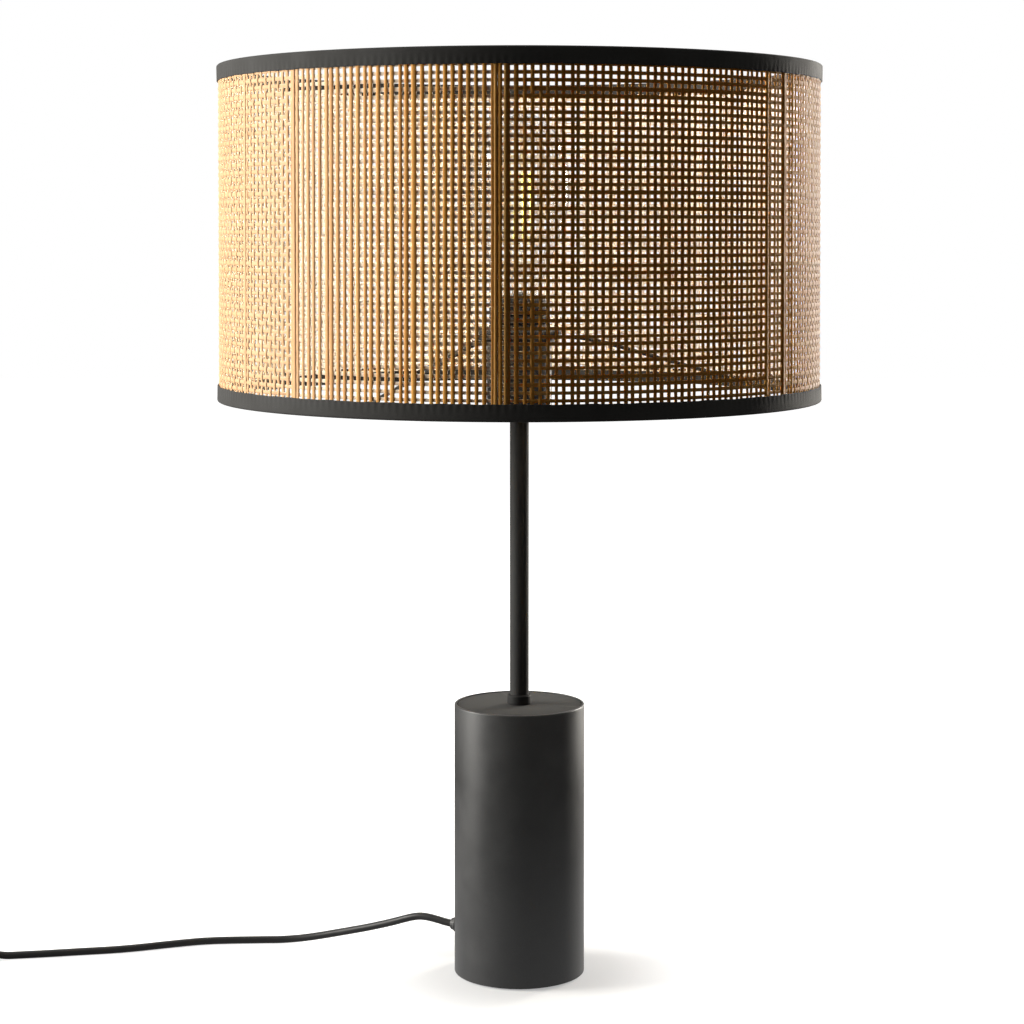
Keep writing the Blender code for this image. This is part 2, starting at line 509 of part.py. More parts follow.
def route(radius):
    lead = [tuple(out * EXIT_R + Vector((0, 0, EXIT_Z)))] + list(LEAD)
    near = [ramp_point(switch_in, -ahead * RAMP * k / 4, k / 4) for k in (4, 3, 2, 1, 0)]
    after = [ramp_point(switch_out, ahead * RAMP * k / 4, k / 4) for k in (0, 1, 2, 3, 4)]
    edge = COIL_C[0] - radius - 1.5 * COIL_STEP
    start = Vector(after[-1])
    left = Vector((-ahead.y, ahead.x, 0))
    bend_r = (start.x - edge) / (1 - left.x)
    turn_c = start + left * bend_r
    for k in range(1, 6):
        a = head - math.pi / 2 + (math.pi * 1.5 - head) * k / 5
        after.append((turn_c.x + bend_r * math.cos(a), turn_c.y + bend_r * math.sin(a), LAY))
    wound = coil_way(radius)
    y = wound[-1][1]
    tail = [ramp_point((PLUG_X, y - 0.0002, PLUG_Z), (-RAMP * k / 4, 0), k / 4) for k in (3, 2, 1, 0)]
    return lead + near, after, wound, tail


def length_of(radius):
    lead, after, wound, tail = route(radius)
    return smooth_line(lead, 0.004)[1] + SWITCH_L + smooth_line(after + wound + tail, 0.004)[1]


lo, hi = 0.0200, 0.0400
for _ in range(30):
    mid = (lo + hi) / 2
    lo, hi = (mid, hi) if length_of(mid) < CORD_LENGTH else (lo, mid)
coil_r = (lo + hi) / 2
lead, after, wound, tail = route(coil_r)

ring_in = coil_r - 1.5 * COIL_STEP - CORD_D / 2 - 0.0002
ring_out = coil_r + 1.5 * COIL_STEP + CORD_D / 2 + 0.0002
ring_top = CORD_D + RISE + 0.0004


def clear(points, solid_end):
    """Shorten the end of a run by the usual gap."""
    p = [Vector(q) for q in points]
    if solid_end in ("last", "both"):
        p[-1] = p[-1] - (p[-1] - p[-2]).normalized() * 1.6 * GAP
    if solid_end in ("first", "both"):
        p[0] = p[0] + (p[1] - p[0]).normalized() * 1.6 * GAP
    return p


tube("cord_lead", clear(lying(smooth_line(lead, CORD_D * 2.2)[0]), "both"), CORD_D / 2, PVC, 2)
before = lying(smooth_line(after + wound[:6], CORD_D * 1.2)[0])
stop = next(i for i, p in enumerate(before) if math.hypot(p[0] - COIL_C[0], p[1] - COIL_C[1]) < ring_out + CORD_D / 2 + GAP)
tube("cord_middle", clear(before[:stop], "first"), CORD_D / 2, PVC, 2)
last = lying(smooth_line(wound[-6:] + tail, CORD_D * 0.8)[0])
start = max(i for i, p in enumerate(last) if math.hypot(p[0] - COIL_C[0], p[1] - COIL_C[1]) < ring_out + CORD_D / 2 + GAP) + 1
tube("cord_tail", clear(last[start:], "last"), CORD_D / 2, PVC, 2)
lathe("cord_coil", [
    (ring_in, 0.0016), (ring_in + 0.0012, 0.0011), (ring_out - 0.0012, 0.0011), (ring_out, 0.0023), (ring_out, 0.0040),
    (ring_out - 0.0040, ring_top), (ring_in + 0.0040, ring_top), (ring_in, 0.0040)], PVC, 36, loc=(*COIL_C, 0))
# tie: a flat band round the bundle, at the far side of the coil
tie_a = math.radians(TIE_ANGLE)
tie_c = empty("tie_frame", (COIL_C[0] + coil_r * math.cos(tie_a), COIL_C[1] + coil_r * math.sin(tie_a), 0), TIE_ANGLE)
half_in = (ring_out - ring_in) / 2 + 0.0009
t_ = 0.0008
bm = bmesh.new()
top_in = ring_top + 0.0003
outer = [(-half_in - t_, 0), (half_in + t_, 0), (half_in + t_, 0.0060), (half_in - 0.0032, top_in + t_), (-half_in + 0.0032, top_in + t_), (-half_in - t_, 0.0060)]
inner_ = [(-half_in, t_), (half_in, t_), (half_in, 0.0060 - 0.0003), (half_in - 0.0036, top_in), (-half_in + 0.0036, top_in), (-half_in, 0.0060 - 0.0003)]
w_ = 0.0040
rings = []
for y in (-w_, w_):
    rings.append(([bm.verts.new((x, y, z_)) for x, z_ in outer], [bm.verts.new((x, y, z_)) for x, z_ in inner_]))
n_ = len(outer)
for k in range(n_):
    j = (k + 1) % n_
    bm.faces.new((rings[0][0][k], rings[0][0][j], rings[1][0][j], rings[1][0][k]))
    bm.faces.new((rings[0][1][k], rings[0][1][j], rings[1][1][j], rings[1][1][k]))
    for side in rings:
        bm.faces.new((side[0][k], side[0][j], side[1][j], side[1][k]))
finish(from_bmesh("cord_tie", bm), TAPE, tie_c, smooth=False)

# --------------------------------------------------------------- in-line switch
sw = empty("switch_frame", (*SWITCH_C, 0), SWITCH_HEADING)
outline = rounded(SWITCH_L, SWITCH_W, 0.0100)
switch_base = prism("switch_base", outline, 0.0, SWITCH_SPLIT, PLASTIC, parent=sw, bevel=0.0012)
switch_cover = prism("switch_cover", outline, SWITCH_SPLIT + GAP, SWITCH_H, PLASTIC, parent=sw, bevel=0.0018)
room = prism("cut_switch_room", rounded(SWITCH_L - 0.0090, SWITCH_W - 0.0040, 0.0080), 0.0022, SWITCH_H - 0.0022, None, parent=sw, cutter=True)
channel = rod_cutter("cut_switch_channel", CORD_D / 2 + GAP, (-0.040, 0, SWITCH_AXIS_Z), (0.040, 0, SWITCH_AXIS_Z), 20, parent=sw)
window = box("cut_switch_window", (0.0176, 0.0100, 0.0100), (0, 0, SWITCH_H), parent=sw, cutter=True)
for piece in (switch_base, switch_cover):
    cut(piece, room)
    cut(piece, channel)
cut(switch_cover, window)
for i, sx in enumerate((-1, 1), 1):
    hole = rod_cutter("cut_switch_screw_%d" % i, 0.0024, (sx * 0.0235, 0.0, -0.003), (sx * 0.0235, 0.0, 0.0014), 20, parent=sw)
    cut(switch_base, hole)
    lathe("switch_screw_%d" % i, [(0, 0.0001), (0.0018, 0.0001), (0.0021, 0.0004), (0.0021, 0.0011), (0, 0.0011)], ZINC, 20, loc=(sx * 0.0235, 0.0, 0), parent=sw)
    box("switch_contact_%d" % i, (0.0080, 0.0030, 0.0060), (sx * 0.0130, 0.0070, 0.0056), BRASS, parent=sw, bevel=0.0003)
rocker_axis = empty("rocker_axis", (0, 0, 0.0152))
rocker_axis.parent = sw
profile = [(-0.0060, -0.0040), (0.0060, -0.0040), (0.0082, 0.0008), (0.0082, 0.0030), (0.0070, 0.0038), (0.0035, 0.0027),
           (0.0, 0.0022), (-0.0035, 0.0027), (-0.0070, 0.0038), (-0.0082, 0.0030), (-0.0082, 0.0008)]
bm = bmesh.new()
face = bm.faces.new([bm.verts.new((x, -0.0046, z_)) for x, z_ in profile])
ext = bmesh.ops.extrude_face_region(bm, geom=[face])
bmesh.ops.translate(bm, vec=(0, 0.0092, 0), verts=[g for g in ext["geom"] if isinstance(g, bmesh.types.BMVert)])
rocker = finish(from_bmesh("switch_rocker", bm), PLASTIC, rocker_axis, smooth=False)
rocker.rotation_euler = (0, math.radians(-ROCKER_TILT), 0)

# ------------------------------------------------------------------------ plug
plug = empty("plug_frame", (PLUG_X, tail[-1][1], PLUG_Z))


def section(x, wy, wz, power, n=24):
    pts = []
    for k in range(n):
        a = 2 * math.pi * (k + 0.5) / n
        c, s = math.cos(a), math.sin(a)
        pts.append((x, wy / 2 * math.copysign(abs(c) ** (2 / power), c), wz / 2 * math.copysign(abs(s) ** (2 / power), s)))
    return pts


bm = bmesh.new()
stations = [(0.0, 0.0062, 0.0062, 2.0), (0.0006, 0.0068, 0.0068, 2.0), (0.0180, 0.0094, 0.0094, 2.0), (0.0200, 0.0108, 0.0102, 2.2),
            (0.0235, 0.0200, 0.0120, 2.8), (0.0275, 0.0268, 0.0133, 3.4), (0.0325, 0.0320, 0.0137, 4.2), (0.0385, 0.0346, 0.0137, 4.6),
            (0.0552, 0.0353, 0.0137, 4.8), (0.0560, 0.0345, 0.0129, 4.6)]
loops = [[bm.verts.new(p) for p in section(*st)] for st in stations]
for a, b in zip(loops, loops[1:]):
    for k in range(len(a)):
        j = (k + 1) % len(a)
        bm.faces.new((a[k], a[j], b[j], b[k]))
bm.faces.new(loops[0])
bm.faces.new(loops[-1])
plug_body = finish(from_bmesh("plug_body", bm), PLASTIC, plug)
FACE_X = 0.0560
for i, sy in enumerate((-1, 1), 1):
    cut(plug_body, rod_cutter("cut_pin_%d" % i, PIN_R + GAP, (FACE_X - 0.0030, sy * PIN_GAP / 2, 0), (FACE_X + 0.0030, sy * PIN_GAP / 2, 0), 20, parent=plug))
    pin = lathe("plug_pin_%d" % i, [(0, 0), (PIN_R, 0), (PIN_R, PIN_L + 0.0015), (PIN_R - 0.0007, PIN_L + 0.0025), (0, PIN_L + 0.0027)],
                NICKEL, 20, loc=(FACE_X - 0.0027, sy * PIN_GAP / 2, 0), rot=(0, math.radians(90), 0), parent=plug)
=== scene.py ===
import math

import bmesh
import bpy
import numpy as np
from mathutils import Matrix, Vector


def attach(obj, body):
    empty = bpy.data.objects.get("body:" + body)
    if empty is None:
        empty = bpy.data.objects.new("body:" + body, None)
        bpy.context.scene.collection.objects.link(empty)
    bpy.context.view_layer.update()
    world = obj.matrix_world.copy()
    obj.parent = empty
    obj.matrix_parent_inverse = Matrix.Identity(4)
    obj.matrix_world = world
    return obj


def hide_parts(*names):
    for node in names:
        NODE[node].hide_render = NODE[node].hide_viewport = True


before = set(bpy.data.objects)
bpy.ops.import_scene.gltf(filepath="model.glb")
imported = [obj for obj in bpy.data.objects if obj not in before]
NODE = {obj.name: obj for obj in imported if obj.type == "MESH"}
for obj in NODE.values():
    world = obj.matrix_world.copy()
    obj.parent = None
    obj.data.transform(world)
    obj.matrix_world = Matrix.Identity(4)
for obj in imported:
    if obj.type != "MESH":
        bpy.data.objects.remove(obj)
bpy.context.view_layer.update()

scene = bpy.context.scene
rng = np.random.default_rng(4231)

# --------------------------------------------------------------------- camera
cam_data = bpy.data.cameras.new("camera")
cam = bpy.data.objects.new("camera", cam_data)
scene.collection.objects.link(cam)
cam.location = (-0.00466, -1.517, 0.473)
cam.rotation_euler = (math.radians(88.5), 0.0, 0.0)
cam_data.sensor_width = 36.0
cam_data.lens = 84.32
cam_data.shift_y = -0.2159
cam_data.clip_start, cam_data.clip_end = 0.01, 50.0
scene.camera = cam
scene.view_settings.view_transform = "Standard"
scene.view_settings.look = "None"
scene.view_settings.exposure = 0.0
scene.view_settings.gamma = 1.0


# ------------------------------------------------------------- material tools
class Tree:
    """A short way to write a material's node tree."""

    def __init__(self, name):
        self.mat = bpy.data.materials.new(name)
        self.mat.use_nodes = True
        self.nt = self.mat.node_tree
        self.bsdf = self.nt.nodes["Principled BSDF"]
        self.out = self.nt.nodes["Material Output"]

    def add(self, kind, inputs=None, **props):
        n = self.nt.nodes.new(kind)
        for k, v in props.items():
            setattr(n, k, v)
        for k, v in (inputs or {}).items():
            self.put(n.inputs[k], v)
        return n

    def put(self, socket, v):
        if isinstance(v, bpy.types.NodeSocket):
            self.nt.links.new(v, socket)
        elif v is not None:
            socket.default_value = v

    def set(self, **values):
        for k, v in values.items():
            name = {"colour": "Base Color", "rough": "Roughness", "metal": "Metallic", "spec": "Specular IOR Level", "ior": "IOR",
                    "normal": "Normal", "coat": "Coat Weight", "coat_rough": "Coat Roughness", "sheen": "Sheen Weight",
                    "sheen_rough": "Sheen Roughness", "trans": "Transmission Weight", "emit": "Emission Color",
                    "emit_strength": "Emission Strength", "alpha": "Alpha"}[k]
            self.put(self.bsdf.inputs[name], v)
        return self

    def object_co(self):
        return self.add("ShaderNodeTexCoord").outputs["Object"]

    def stretch(self, vec, scale):
        return self.add("ShaderNodeMapping", {"Vector": vec, "Scale": scale}).outputs[0]

    def noise(self, vec, scale, detail=3.0, rough=0.55, distort=0.0):
        return self.add("ShaderNodeTexNoise", {"Vector": vec, "Scale": scale, "Detail": detail, "Roughness": rough, "Distortion": distort}).outputs["Fac"]

    def ramp(self, fac, stops):
        n = self.add("ShaderNodeValToRGB", {"Fac": fac})
        cr = n.color_ramp
        while len(cr.elements) < len(stops):
            cr.elements.new(0.5)
        for e, (p, c) in zip(cr.elements, stops):
            e.position = p
            e.color = (*c, 1.0) if len(c) == 3 else c
        return n.outputs["Color"]

    def span(self, v, a, b, c, d):
        return self.add("ShaderNodeMapRange", {"Value": v, "From Min": a, "From Max": b, "To Min": c, "To Max": d}).outputs[0]

    def math(self, op, a, b=None):
        n = self.add("ShaderNodeMath", operation=op)
        self.put(n.inputs[0], a)
        if b is not None:
            self.put(n.inputs[1], b)
        return n.outputs[0]

    def mix(self, fac, a, b, blend="MIX"):
        n = self.add("ShaderNodeMix", data_type="RGBA", blend_type=blend)
        self.put(n.inputs[0], fac)
        self.put(n.inputs[6], a if isinstance(a, bpy.types.NodeSocket) else (*a, 1.0))
        self.put(n.inputs[7], b if isinstance(b, bpy.types.NodeSocket) else (*b, 1.0))
        return n.outputs[2]

    def bump(self, height, strength=0.3, distance=0.0004, normal=None):
        n = self.add("ShaderNodeBump", {"Strength": strength, "Distance": distance, "Height": height})
        if normal is not None:
            self.put(n.inputs["Normal"], normal)
        return n.outputs[0]


def coat_material(name, dark, light, rough, grain=2600.0, strength=0.35, spec=0.5, edge=None):
    """A powder coat or lacquer on metal: fine orange peel, slight mottling, a little dust and rubbed edges."""
    t = Tree(name)
    co = t.object_co()
    mottle = t.noise(co, 38.0, 4.0)
    fine = t.noise(co, grain, 2.0)
    peel = t.noise(co, grain * 0.33, 2.0)
    colour = t.mix(t.span(mottle, 0.3, 0.7, 0.0, 1.0), dark, light)
    colour = t.mix(t.span(fine, 0.55, 0.8, 0.0, 0.35), colour, tuple(min(1.0, c * 2.2) for c in light))
    if edge:
        worn = t.add("ShaderNodeNewGeometry").outputs["Pointiness"]
        colour = t.mix(t.span(worn, 0.54, 0.62, 0.0, 0.5), colour, edge)
    t.set(colour=colour, rough=t.span(mottle, 0.3, 0.7, rough - 0.05, rough + 0.06), spec=spec)
    both = t.math("ADD", fine, t.math("MULTIPLY", peel, 0.8))
    t.set(normal=t.bump(both, strength, 0.00008))
    return t.mat


def metal_material(name, colour, rough, brush=(900.0, 900.0, 40.0), spec=0.5):
    t = Tree(name)
    co = t.object_co()
    lines = t.noise(t.stretch(co, brush), 1.0, 4.0)
    stain = t.noise(co, 60.0, 3.0)
    t.set(colour=t.mix(t.span(stain, 0.35, 0.7, 0.0, 1.0), colour, tuple(c * 0.72 for c in colour)), metal=1.0,
          rough=t.span(lines, 0.3, 0.7, rough - 0.08, rough + 0.1), normal=t.bump(lines, 0.15, 0.00005))
    return t.mat


def plastic_material(name, dark, light, rough, grain=3200.0, strength=0.25, spec=0.5):
    t = Tree(name)
    co = t.object_co()
    spark = t.noise(co, grain, 2.0)
    soft = t.noise(co, 70.0, 3.0)
    t.set(colour=t.mix(t.span(soft, 0.3, 0.7, 0.0, 1.0), dark, light), rough=t.span(spark, 0.3, 0.7, rough - 0.06, rough + 0.07),
          normal=t.bump(spark, strength, 0.00006), spec=spec)
    return t.mat


# ------------------------------------------------------------------ mesh tools
def make(name, me, mat, body, *nodes, slot=None, smooth=True, angle=38.0):
    if smooth:
        me.shade_smooth()
        if angle:
            me.set_sharp_from_angle(angle=math.radians(angle))
    me.materials.append(mat)
    o = bpy.data.objects.new(name, me)
    scene.collection.objects.link(o)
    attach(o, body)
    if nodes:
        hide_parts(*nodes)
    return o


def fillet(points, n=5):
    """A profile of (radius, height[, corner radius]) points with its corners rounded."""
    out = []
    m = len(points)
    for i, p in enumerate(points):
        rad = p[2] if len(p) > 2 else 0.0
        if not rad or i in (0, m - 1):
            out.append((p[0], p[1]))
            continue
        c = np.array(p[:2], float)
        a, b = np.array(points[i - 1][:2], float) - c, np.array(points[i + 1][:2], float) - c
        la, lb = np.linalg.norm(a), np.linalg.norm(b)
        a, b = a / la, b / lb
        half = math.acos(max(-1.0, min(1.0, float(a @ b)))) / 2
        cut = min(rad / math.tan(half), la * 0.49, lb * 0.49)
        r = cut * math.tan(half)
        centre = c + (a + b) / np.linalg.norm(a + b) * (r / math.sin(half))
        v0, v1 = c + a * cut - centre, c + b * cut - centre
        ang = math.acos(max(-1.0, min(1.0, float(v0 @ v1) / (r * r))))
        for k in range(n + 1):
            s = k / n
            v = (math.sin((1 - s) * ang) * v0 + math.sin(s * ang) * v1) / math.sin(ang) if ang > 1e-6 else v0
            out.append(tuple(centre + v))
    return out


def lathe_mesh(name, profile, seg=128, closed=True, warp=None, frame_m=None):
    """Spins a closed profile of (radius, height) points about Z. warp(angle, r, z) moves rings."""
    p = np.array(profile, float)
    m = len(p)
    ang = np.arange(seg) * 2 * math.pi / seg
    r = np.repeat(p[None, :, 0], seg, 0)
    z = np.repeat(p[None, :, 1], seg, 0)
    if warp is not None:
        r, z = warp(ang[:, None], r, z)
    v = np.stack([r * np.cos(ang)[:, None], r * np.sin(ang)[:, None], z], -1)
    axis = [i for i in range(m) if p[i, 0] < 1e-9]
    verts = v.reshape(-1, 3)
    faces = []
    index = np.arange(seg * m).reshape(seg, m)
    for i in axis:
        index[:, i] = index[0, i]
    last = m if closed else m - 1
    for k in range(last):
        j = (k + 1) % m
        if k in axis and j in axis:
            continue
        for s in range(seg):
            t = (s + 1) % seg
            f = [index[s, k], index[t, k], index[t, j], index[s, j]]
            f = [x for n_, x in enumerate(f) if x not in f[:n_]]
            if len(f) > 2:
                faces.append(f)
    used = np.zeros(len(verts), bool)
    for f in faces:
        used[f] = True
    remap = np.cumsum(used) - 1
    me = bpy.data.meshes.new(name)
    verts = verts[used]
    if frame_m is not None:
        verts = np.array([tuple(frame_m @ Vector(q)) for q in verts])
    me.from_pydata(verts.tolist(), [], [[int(remap[x]) for x in f] for f in faces])
    bm = bmesh.new()
    bm.from_mesh(me)
    bmesh.ops.recalc_face_normals(bm, faces=bm.faces[:])
    if bm.calc_volume(signed=True) < 0:
        bmesh.ops.reverse_faces(bm, faces=bm.faces[:])
    bm.to_mesh(me)
    bm.free()
    return me


def smooth_line(points, step):
    """Points at an even spacing on a smooth curve through the given ones."""
    p = np.array(points, float)
    t = np.concatenate([[0], np.cumsum(np.linalg.norm(np.diff(p, axis=0), axis=1) ** 0.5)])
    n = len(p)
    a = np.zeros((n, n))
    b = np.zeros((n, 3))
    a[0, 0] = a[-1, -1] = 1.0
    for i in range(1, n - 1):
        h0, h1 = t[i] - t[i - 1], t[i + 1] - t[i]
        a[i, i - 1], a[i, i], a[i, i + 1] = h0, 2 * (h0 + h1), h1
        b[i] = 6 * ((p[i + 1] - p[i]) / h1 - (p[i] - p[i - 1]) / h0)
    m = np.linalg.solve(a, b)
    fine = []
    for i in range(n - 1):
        h = t[i + 1] - t[i]
        for u in np.linspace(0, 1, 40, endpoint=False):
            s0, s1 = (1 - u) * h, u * h
            fine.append(m[i] * s0 ** 3 / (6 * h) + m[i + 1] * s1 ** 3 / (6 * h)
                        + (p[i] / h - m[i] * h / 6) * s0 + (p[i + 1] / h - m[i + 1] * h / 6) * s1)
    fine.append(p[-1])
    fine = np.array(fine)
    d = np.concatenate([[0], np.cumsum(np.linalg.norm(np.diff(fine, axis=0), axis=1))])
    k = max(2, int(round(d[-1] / step)) + 1)
    at = np.linspace(0, d[-1], k)
    return np.stack([np.interp(at, d, fine[:, c]) for c in range(3)], 1), d[-1]


def curve_tube(name, points, radius, mat, body, *nodes, slot=None, resolution=5):
    cu = bpy.data.curves.new(name, "CURVE")
    cu.dimensions = "3D"
    cu.bevel_depth = radius
    cu.bevel_resolution = resolution
    cu.use_fill_caps = True
    cu.resolution_u = 1
    cu.render_resolution_u = 0
    sp = cu.splines.new("POLY")
    sp.points.add(len(points) - 1)
    sp.points.foreach_set("co", np.column_stack([points, np.ones(len(points))]).ravel())
    sp.use_smooth = True
    cu.materials.append(mat)
    o = bpy.data.objects.new(name, cu)
    scene.collection.objects.link(o)
    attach(o, body)
    if nodes:
        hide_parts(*nodes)
    return o


# ----------------------------------------------------------------------- cord
GAP = 0.0003
CORD_D, CORD_LENGTH = 0.0047, 1.80
EXIT_ANGLE, EXIT_Z, EXIT_R = 157.6, 0.0250, 0.0468
LEAD = ((-0.0472, 0.0195, 0.0254), (-0.0560, 0.0231, 0.0269), (-0.0644, 0.0265, 0.0272),
        (-0.0723, 0.0298, 0.0251), (-0.0803, 0.0331, 0.0221), (-0.0964, 0.0397, 0.0166),
        (-0.1125, 0.0462, 0.0118), (-0.1288, 0.0522, 0.0073), (-0.1453, 0.0566, 0.0038),
        (-0.1610, 0.0580, 0.00245), (-0.1768, 0.0575, 0.00235), (-0.1926, 0.0566, 0.00235),
        (-0.2082, 0.0545, 0.00235), (-0.2235, 0.0498, 0.00235), (-0.2383, 0.0443, 0.00235),
        (-0.2531, 0.0389, 0.00235), (-0.2682, 0.0349, 0.00235), (-0.2834, 0.0320, 0.00235),
        (-0.2985, 0.0289, 0.00235), (-0.3134, 0.0261, 0.00235))
SWITCH_C, SWITCH_HEADING, SWITCH_L, SWITCH_AXIS_Z = (-0.3840, 0.0143), 189.5, 0.0620, 0.0070
COIL_C, COIL_TURNS, COIL_STEP = (-0.4360, -0.0500), 7.25, CORD_D * 1.03
LAY = CORD_D / 2 + 0.0001
RAMP = 0.0240
RISE = 0.92 * COIL_STEP
TIE_ANGLE = 62.0
PLUG_X, PLUG_Z = -0.4090, 0.00685
ea = math.radians(EXIT_ANGLE)
out = Vector((math.cos(ea), math.sin(ea), 0))
head = math.radians(SWITCH_HEADING)
ahead = Vector((math.cos(head), math.sin(head), 0))
switch_in = Vector((*SWITCH_C, SWITCH_AXIS_Z)) - ahead * SWITCH_L / 2
switch_out = Vector((*SWITCH_C, SWITCH_AXIS_Z)) + ahead * SWITCH_L / 2


def ease(u, u0, u1):
    w = min(1.0, max(0.0, (u - u0) / (u1 - u0)))
    return w * w * (3 - 2 * w)


def coil_way(radius, turns=COIL_TURNS, per_turn=16):
    """Four turns on the floor from the outside in, three on top of them, then down outside."""
    rows = ((1.5, 0), (0.5, 0), (-0.5, 0), (-1.5, 0), (-1.0, 1), (0.0, 1), (1.0, 1), (2.0, 1), (2.6, 0))
    pts = []
    for k in range(int(round(turns * per_turn)) + 1):
        t = k / per_turn
        i = min(int(t), 7)
        u = t - i
        w = ease(u, 0.35, 0.65) if i == 3 else ease(u, 0.0, 0.25) if i == 7 else ease(u, 0.72, 1.0)
        off = rows[i][0] + (rows[i + 1][0] - rows[i][0]) * w
        up = rows[i][1] + (rows[i + 1][1] - rows[i][1]) * w
        a = math.pi + 2 * math.pi * t
        near_tie = (a - math.radians(TIE_ANGLE) + math.pi) % (2 * math.pi) - math.pi
        r = radius + COIL_STEP * off
        pts.append((COIL_C[0] + r * math.cos(a), COIL_C[1] + r * math.sin(a),
                    LAY + RISE * up + 0.0009 * math.exp(-(near_tie / 0.55) ** 2)))
    return pts


def ramp_point(p, along, share):
    """A point on the slope between the table and a fitting's cord entry."""
    return (p[0] + along[0], p[1] + along[1], LAY + (p[2] - LAY) * 0.5 * (1 + math.cos(math.pi * share)))


def route(radius):
    lead = [tuple(out * EXIT_R + Vector((0, 0, EXIT_Z)))] + list(LEAD)
    near = [ramp_point(switch_in, -ahead * RAMP * k / 4, k / 4) for k in (4, 3, 2, 1, 0)]
    after = [ramp_point(switch_out, ahead * RAMP * k / 4, k / 4) for k in (0, 1, 2, 3, 4)]
    edge = COIL_C[0] - radius - 1.5 * COIL_STEP
    start = Vector(after[-1])
    left = Vector((-ahead.y, ahead.x, 0))
    bend_r = (start.x - edge) / (1 - left.x)
    turn_c = start + left * bend_r
    for k in range(1, 6):
        a = head - math.pi / 2 + (math.pi * 1.5 - head) * k / 5
        after.append((turn_c.x + bend_r * math.cos(a), turn_c.y + bend_r * math.sin(a), LAY))
    wound = coil_way(radius)
    y = wound[-1][1]
    tail = [ramp_point((PLUG_X, y - 0.0002, PLUG_Z), (-RAMP * k / 4, 0), k / 4) for k in (3, 2, 1, 0)]
    return lead + near, after, wound, tail


def length_of(radius):
    lead, after, wound, tail = route(radius)
    return smooth_line(lead, 0.004)[1] + SWITCH_L + smooth_line(after + wound + tail, 0.004)[1]


lo, hi = 0.0200, 0.0400
for _ in range(30):
    mid = (lo + hi) / 2
    lo, hi = (mid, hi) if length_of(mid) < CORD_LENGTH else (lo, mid)
coil_r = (lo + hi) / 2
lead, after, wound, tail = route(coil_r)
first = smooth_line(lead, 0.0022)[0]
through = [tuple(switch_in + ahead * SWITCH_L * k / 8) for k in range(1, 8)]
second = smooth_line(after + wound + tail, 0.0018)[0]
line = np.vstack([first, through, second])
line[:, 2] = np.maximum(line[:, 2], LAY)

t = Tree("cord_jacket")
co = t.object_co()
wipe = t.noise(co, 55.0, 3.0)
pits = t.noise(co, 1900.0, 2.0)
t.set(colour=t.mix(t.span(wipe, 0.3, 0.7, 0.0, 1.0), (0.008, 0.008, 0.0078), (0.014, 0.0138, 0.0135)),
      rough=t.span(wipe, 0.3, 0.7, 0.36, 0.50), normal=t.bump(pits, 0.18, 0.00005), spec=0.36)
JACKET = t.mat
cord_piece = curve_tube("mains_cord", line, CORD_D / 2, JACKET, "stand", "cord_lead", "cord_middle", "cord_tail", "cord_coil", slot="cord_pvc")

# ------------------------------------------------------------------ materials
COAT = coat_material("black_coat", (0.018, 0.018, 0.0182), (0.026, 0.026, 0.0262), 0.44, grain=2300.0, strength=0.22, spec=0.5, edge=(0.09, 0.09, 0.088))
# A matter copy of the black coat for the top disc, painted paler: painted light on its upward face.
TOP_COAT_PAINTED_LIGHT = coat_material("black_coat_painted_light", (0.026, 0.026, 0.0255), (0.036, 0.036, 0.0352), 0.74, grain=2300.0, strength=0.25, spec=0.22, edge=(0.08, 0.08, 0.078))
# A darker, matter copy of the black coat for the stem and collar: painted shade, where they hang under the lampshade.
STEM_COAT_PAINTED_SHADE = coat_material("black_coat_painted_shade", (0.0110, 0.0110, 0.0111), (0.0150, 0.0150, 0.0151), 0.72, grain=2300.0, strength=0.22, spec=0.16, edge=(0.05, 0.05, 0.049))
LACQUER = coat_material("black_lacquer", (0.006, 0.006, 0.006), (0.010, 0.010, 0.010), 0.38, grain=1500.0, strength=0.15)
WIRE = coat_material("carrier_wire", (0.007, 0.006, 0.005), (0.012, 0.011, 0.009), 0.45, grain=1200.0, strength=0.2)
ZINC = metal_material("zinc_steel", (0.60, 0.60, 0.57), 0.36)
NICKEL = metal_material("nickel", (0.66, 0.63, 0.58), 0.26)
BRASS = metal_material("brass", (0.72, 0.50, 0.22), 0.30)
BAKELITE = plastic_material("holder_plastic", (0.006, 0.006, 0.006), (0.011, 0.011, 0.011), 0.42, spec=0.4)
SHELL = plastic_material("switch_plastic", (0.014, 0.014, 0.0145), (0.023, 0.023, 0.0235), 0.42, grain=2600.0, strength=0.45)
RUBBER = plastic_material("grommet_rubber", (0.013, 0.013, 0.013), (0.022, 0.022, 0.022), 0.55, grain=1800.0)
FOAM = plastic_material("foot_foam", (0.010, 0.010, 0.010), (0.020, 0.020, 0.020), 0.90, grain=1400.0, strength=0.9, spec=0.2)
CORE_A = plastic_material("core_brown", (0.10, 0.035, 0.012), (0.14, 0.05, 0.02), 0.35)
CORE_B = plastic_material("core_blue", (0.010, 0.04, 0.22), (0.02, 0.06, 0.30), 0.35)
VITRITE = plastic_material("black_glass", (0.006, 0.006, 0.006), (0.012, 0.012, 0.012), 0.12, strength=0.05)

t = Tree("cast_weight")
co = t.object_co()
big, small = t.noise(co, 45.0, 6.0, 0.65), t.noise(co, 600.0, 4.0)
pores = t.add("ShaderNodeTexVoronoi", {"Vector": co, "Scale": 260.0}).outputs["Distance"]
t.set(colour=t.ramp(big, [(0.3, (0.22, 0.21, 0.20)), (0.7, (0.42, 0.41, 0.38))]), rough=0.9, spec=0.2,
      normal=t.bump(t.math("ADD", small, t.span(pores, 0.0, 0.25, 0.0, 1.0)), 0.6, 0.0005))
CONCRETE = t.mat

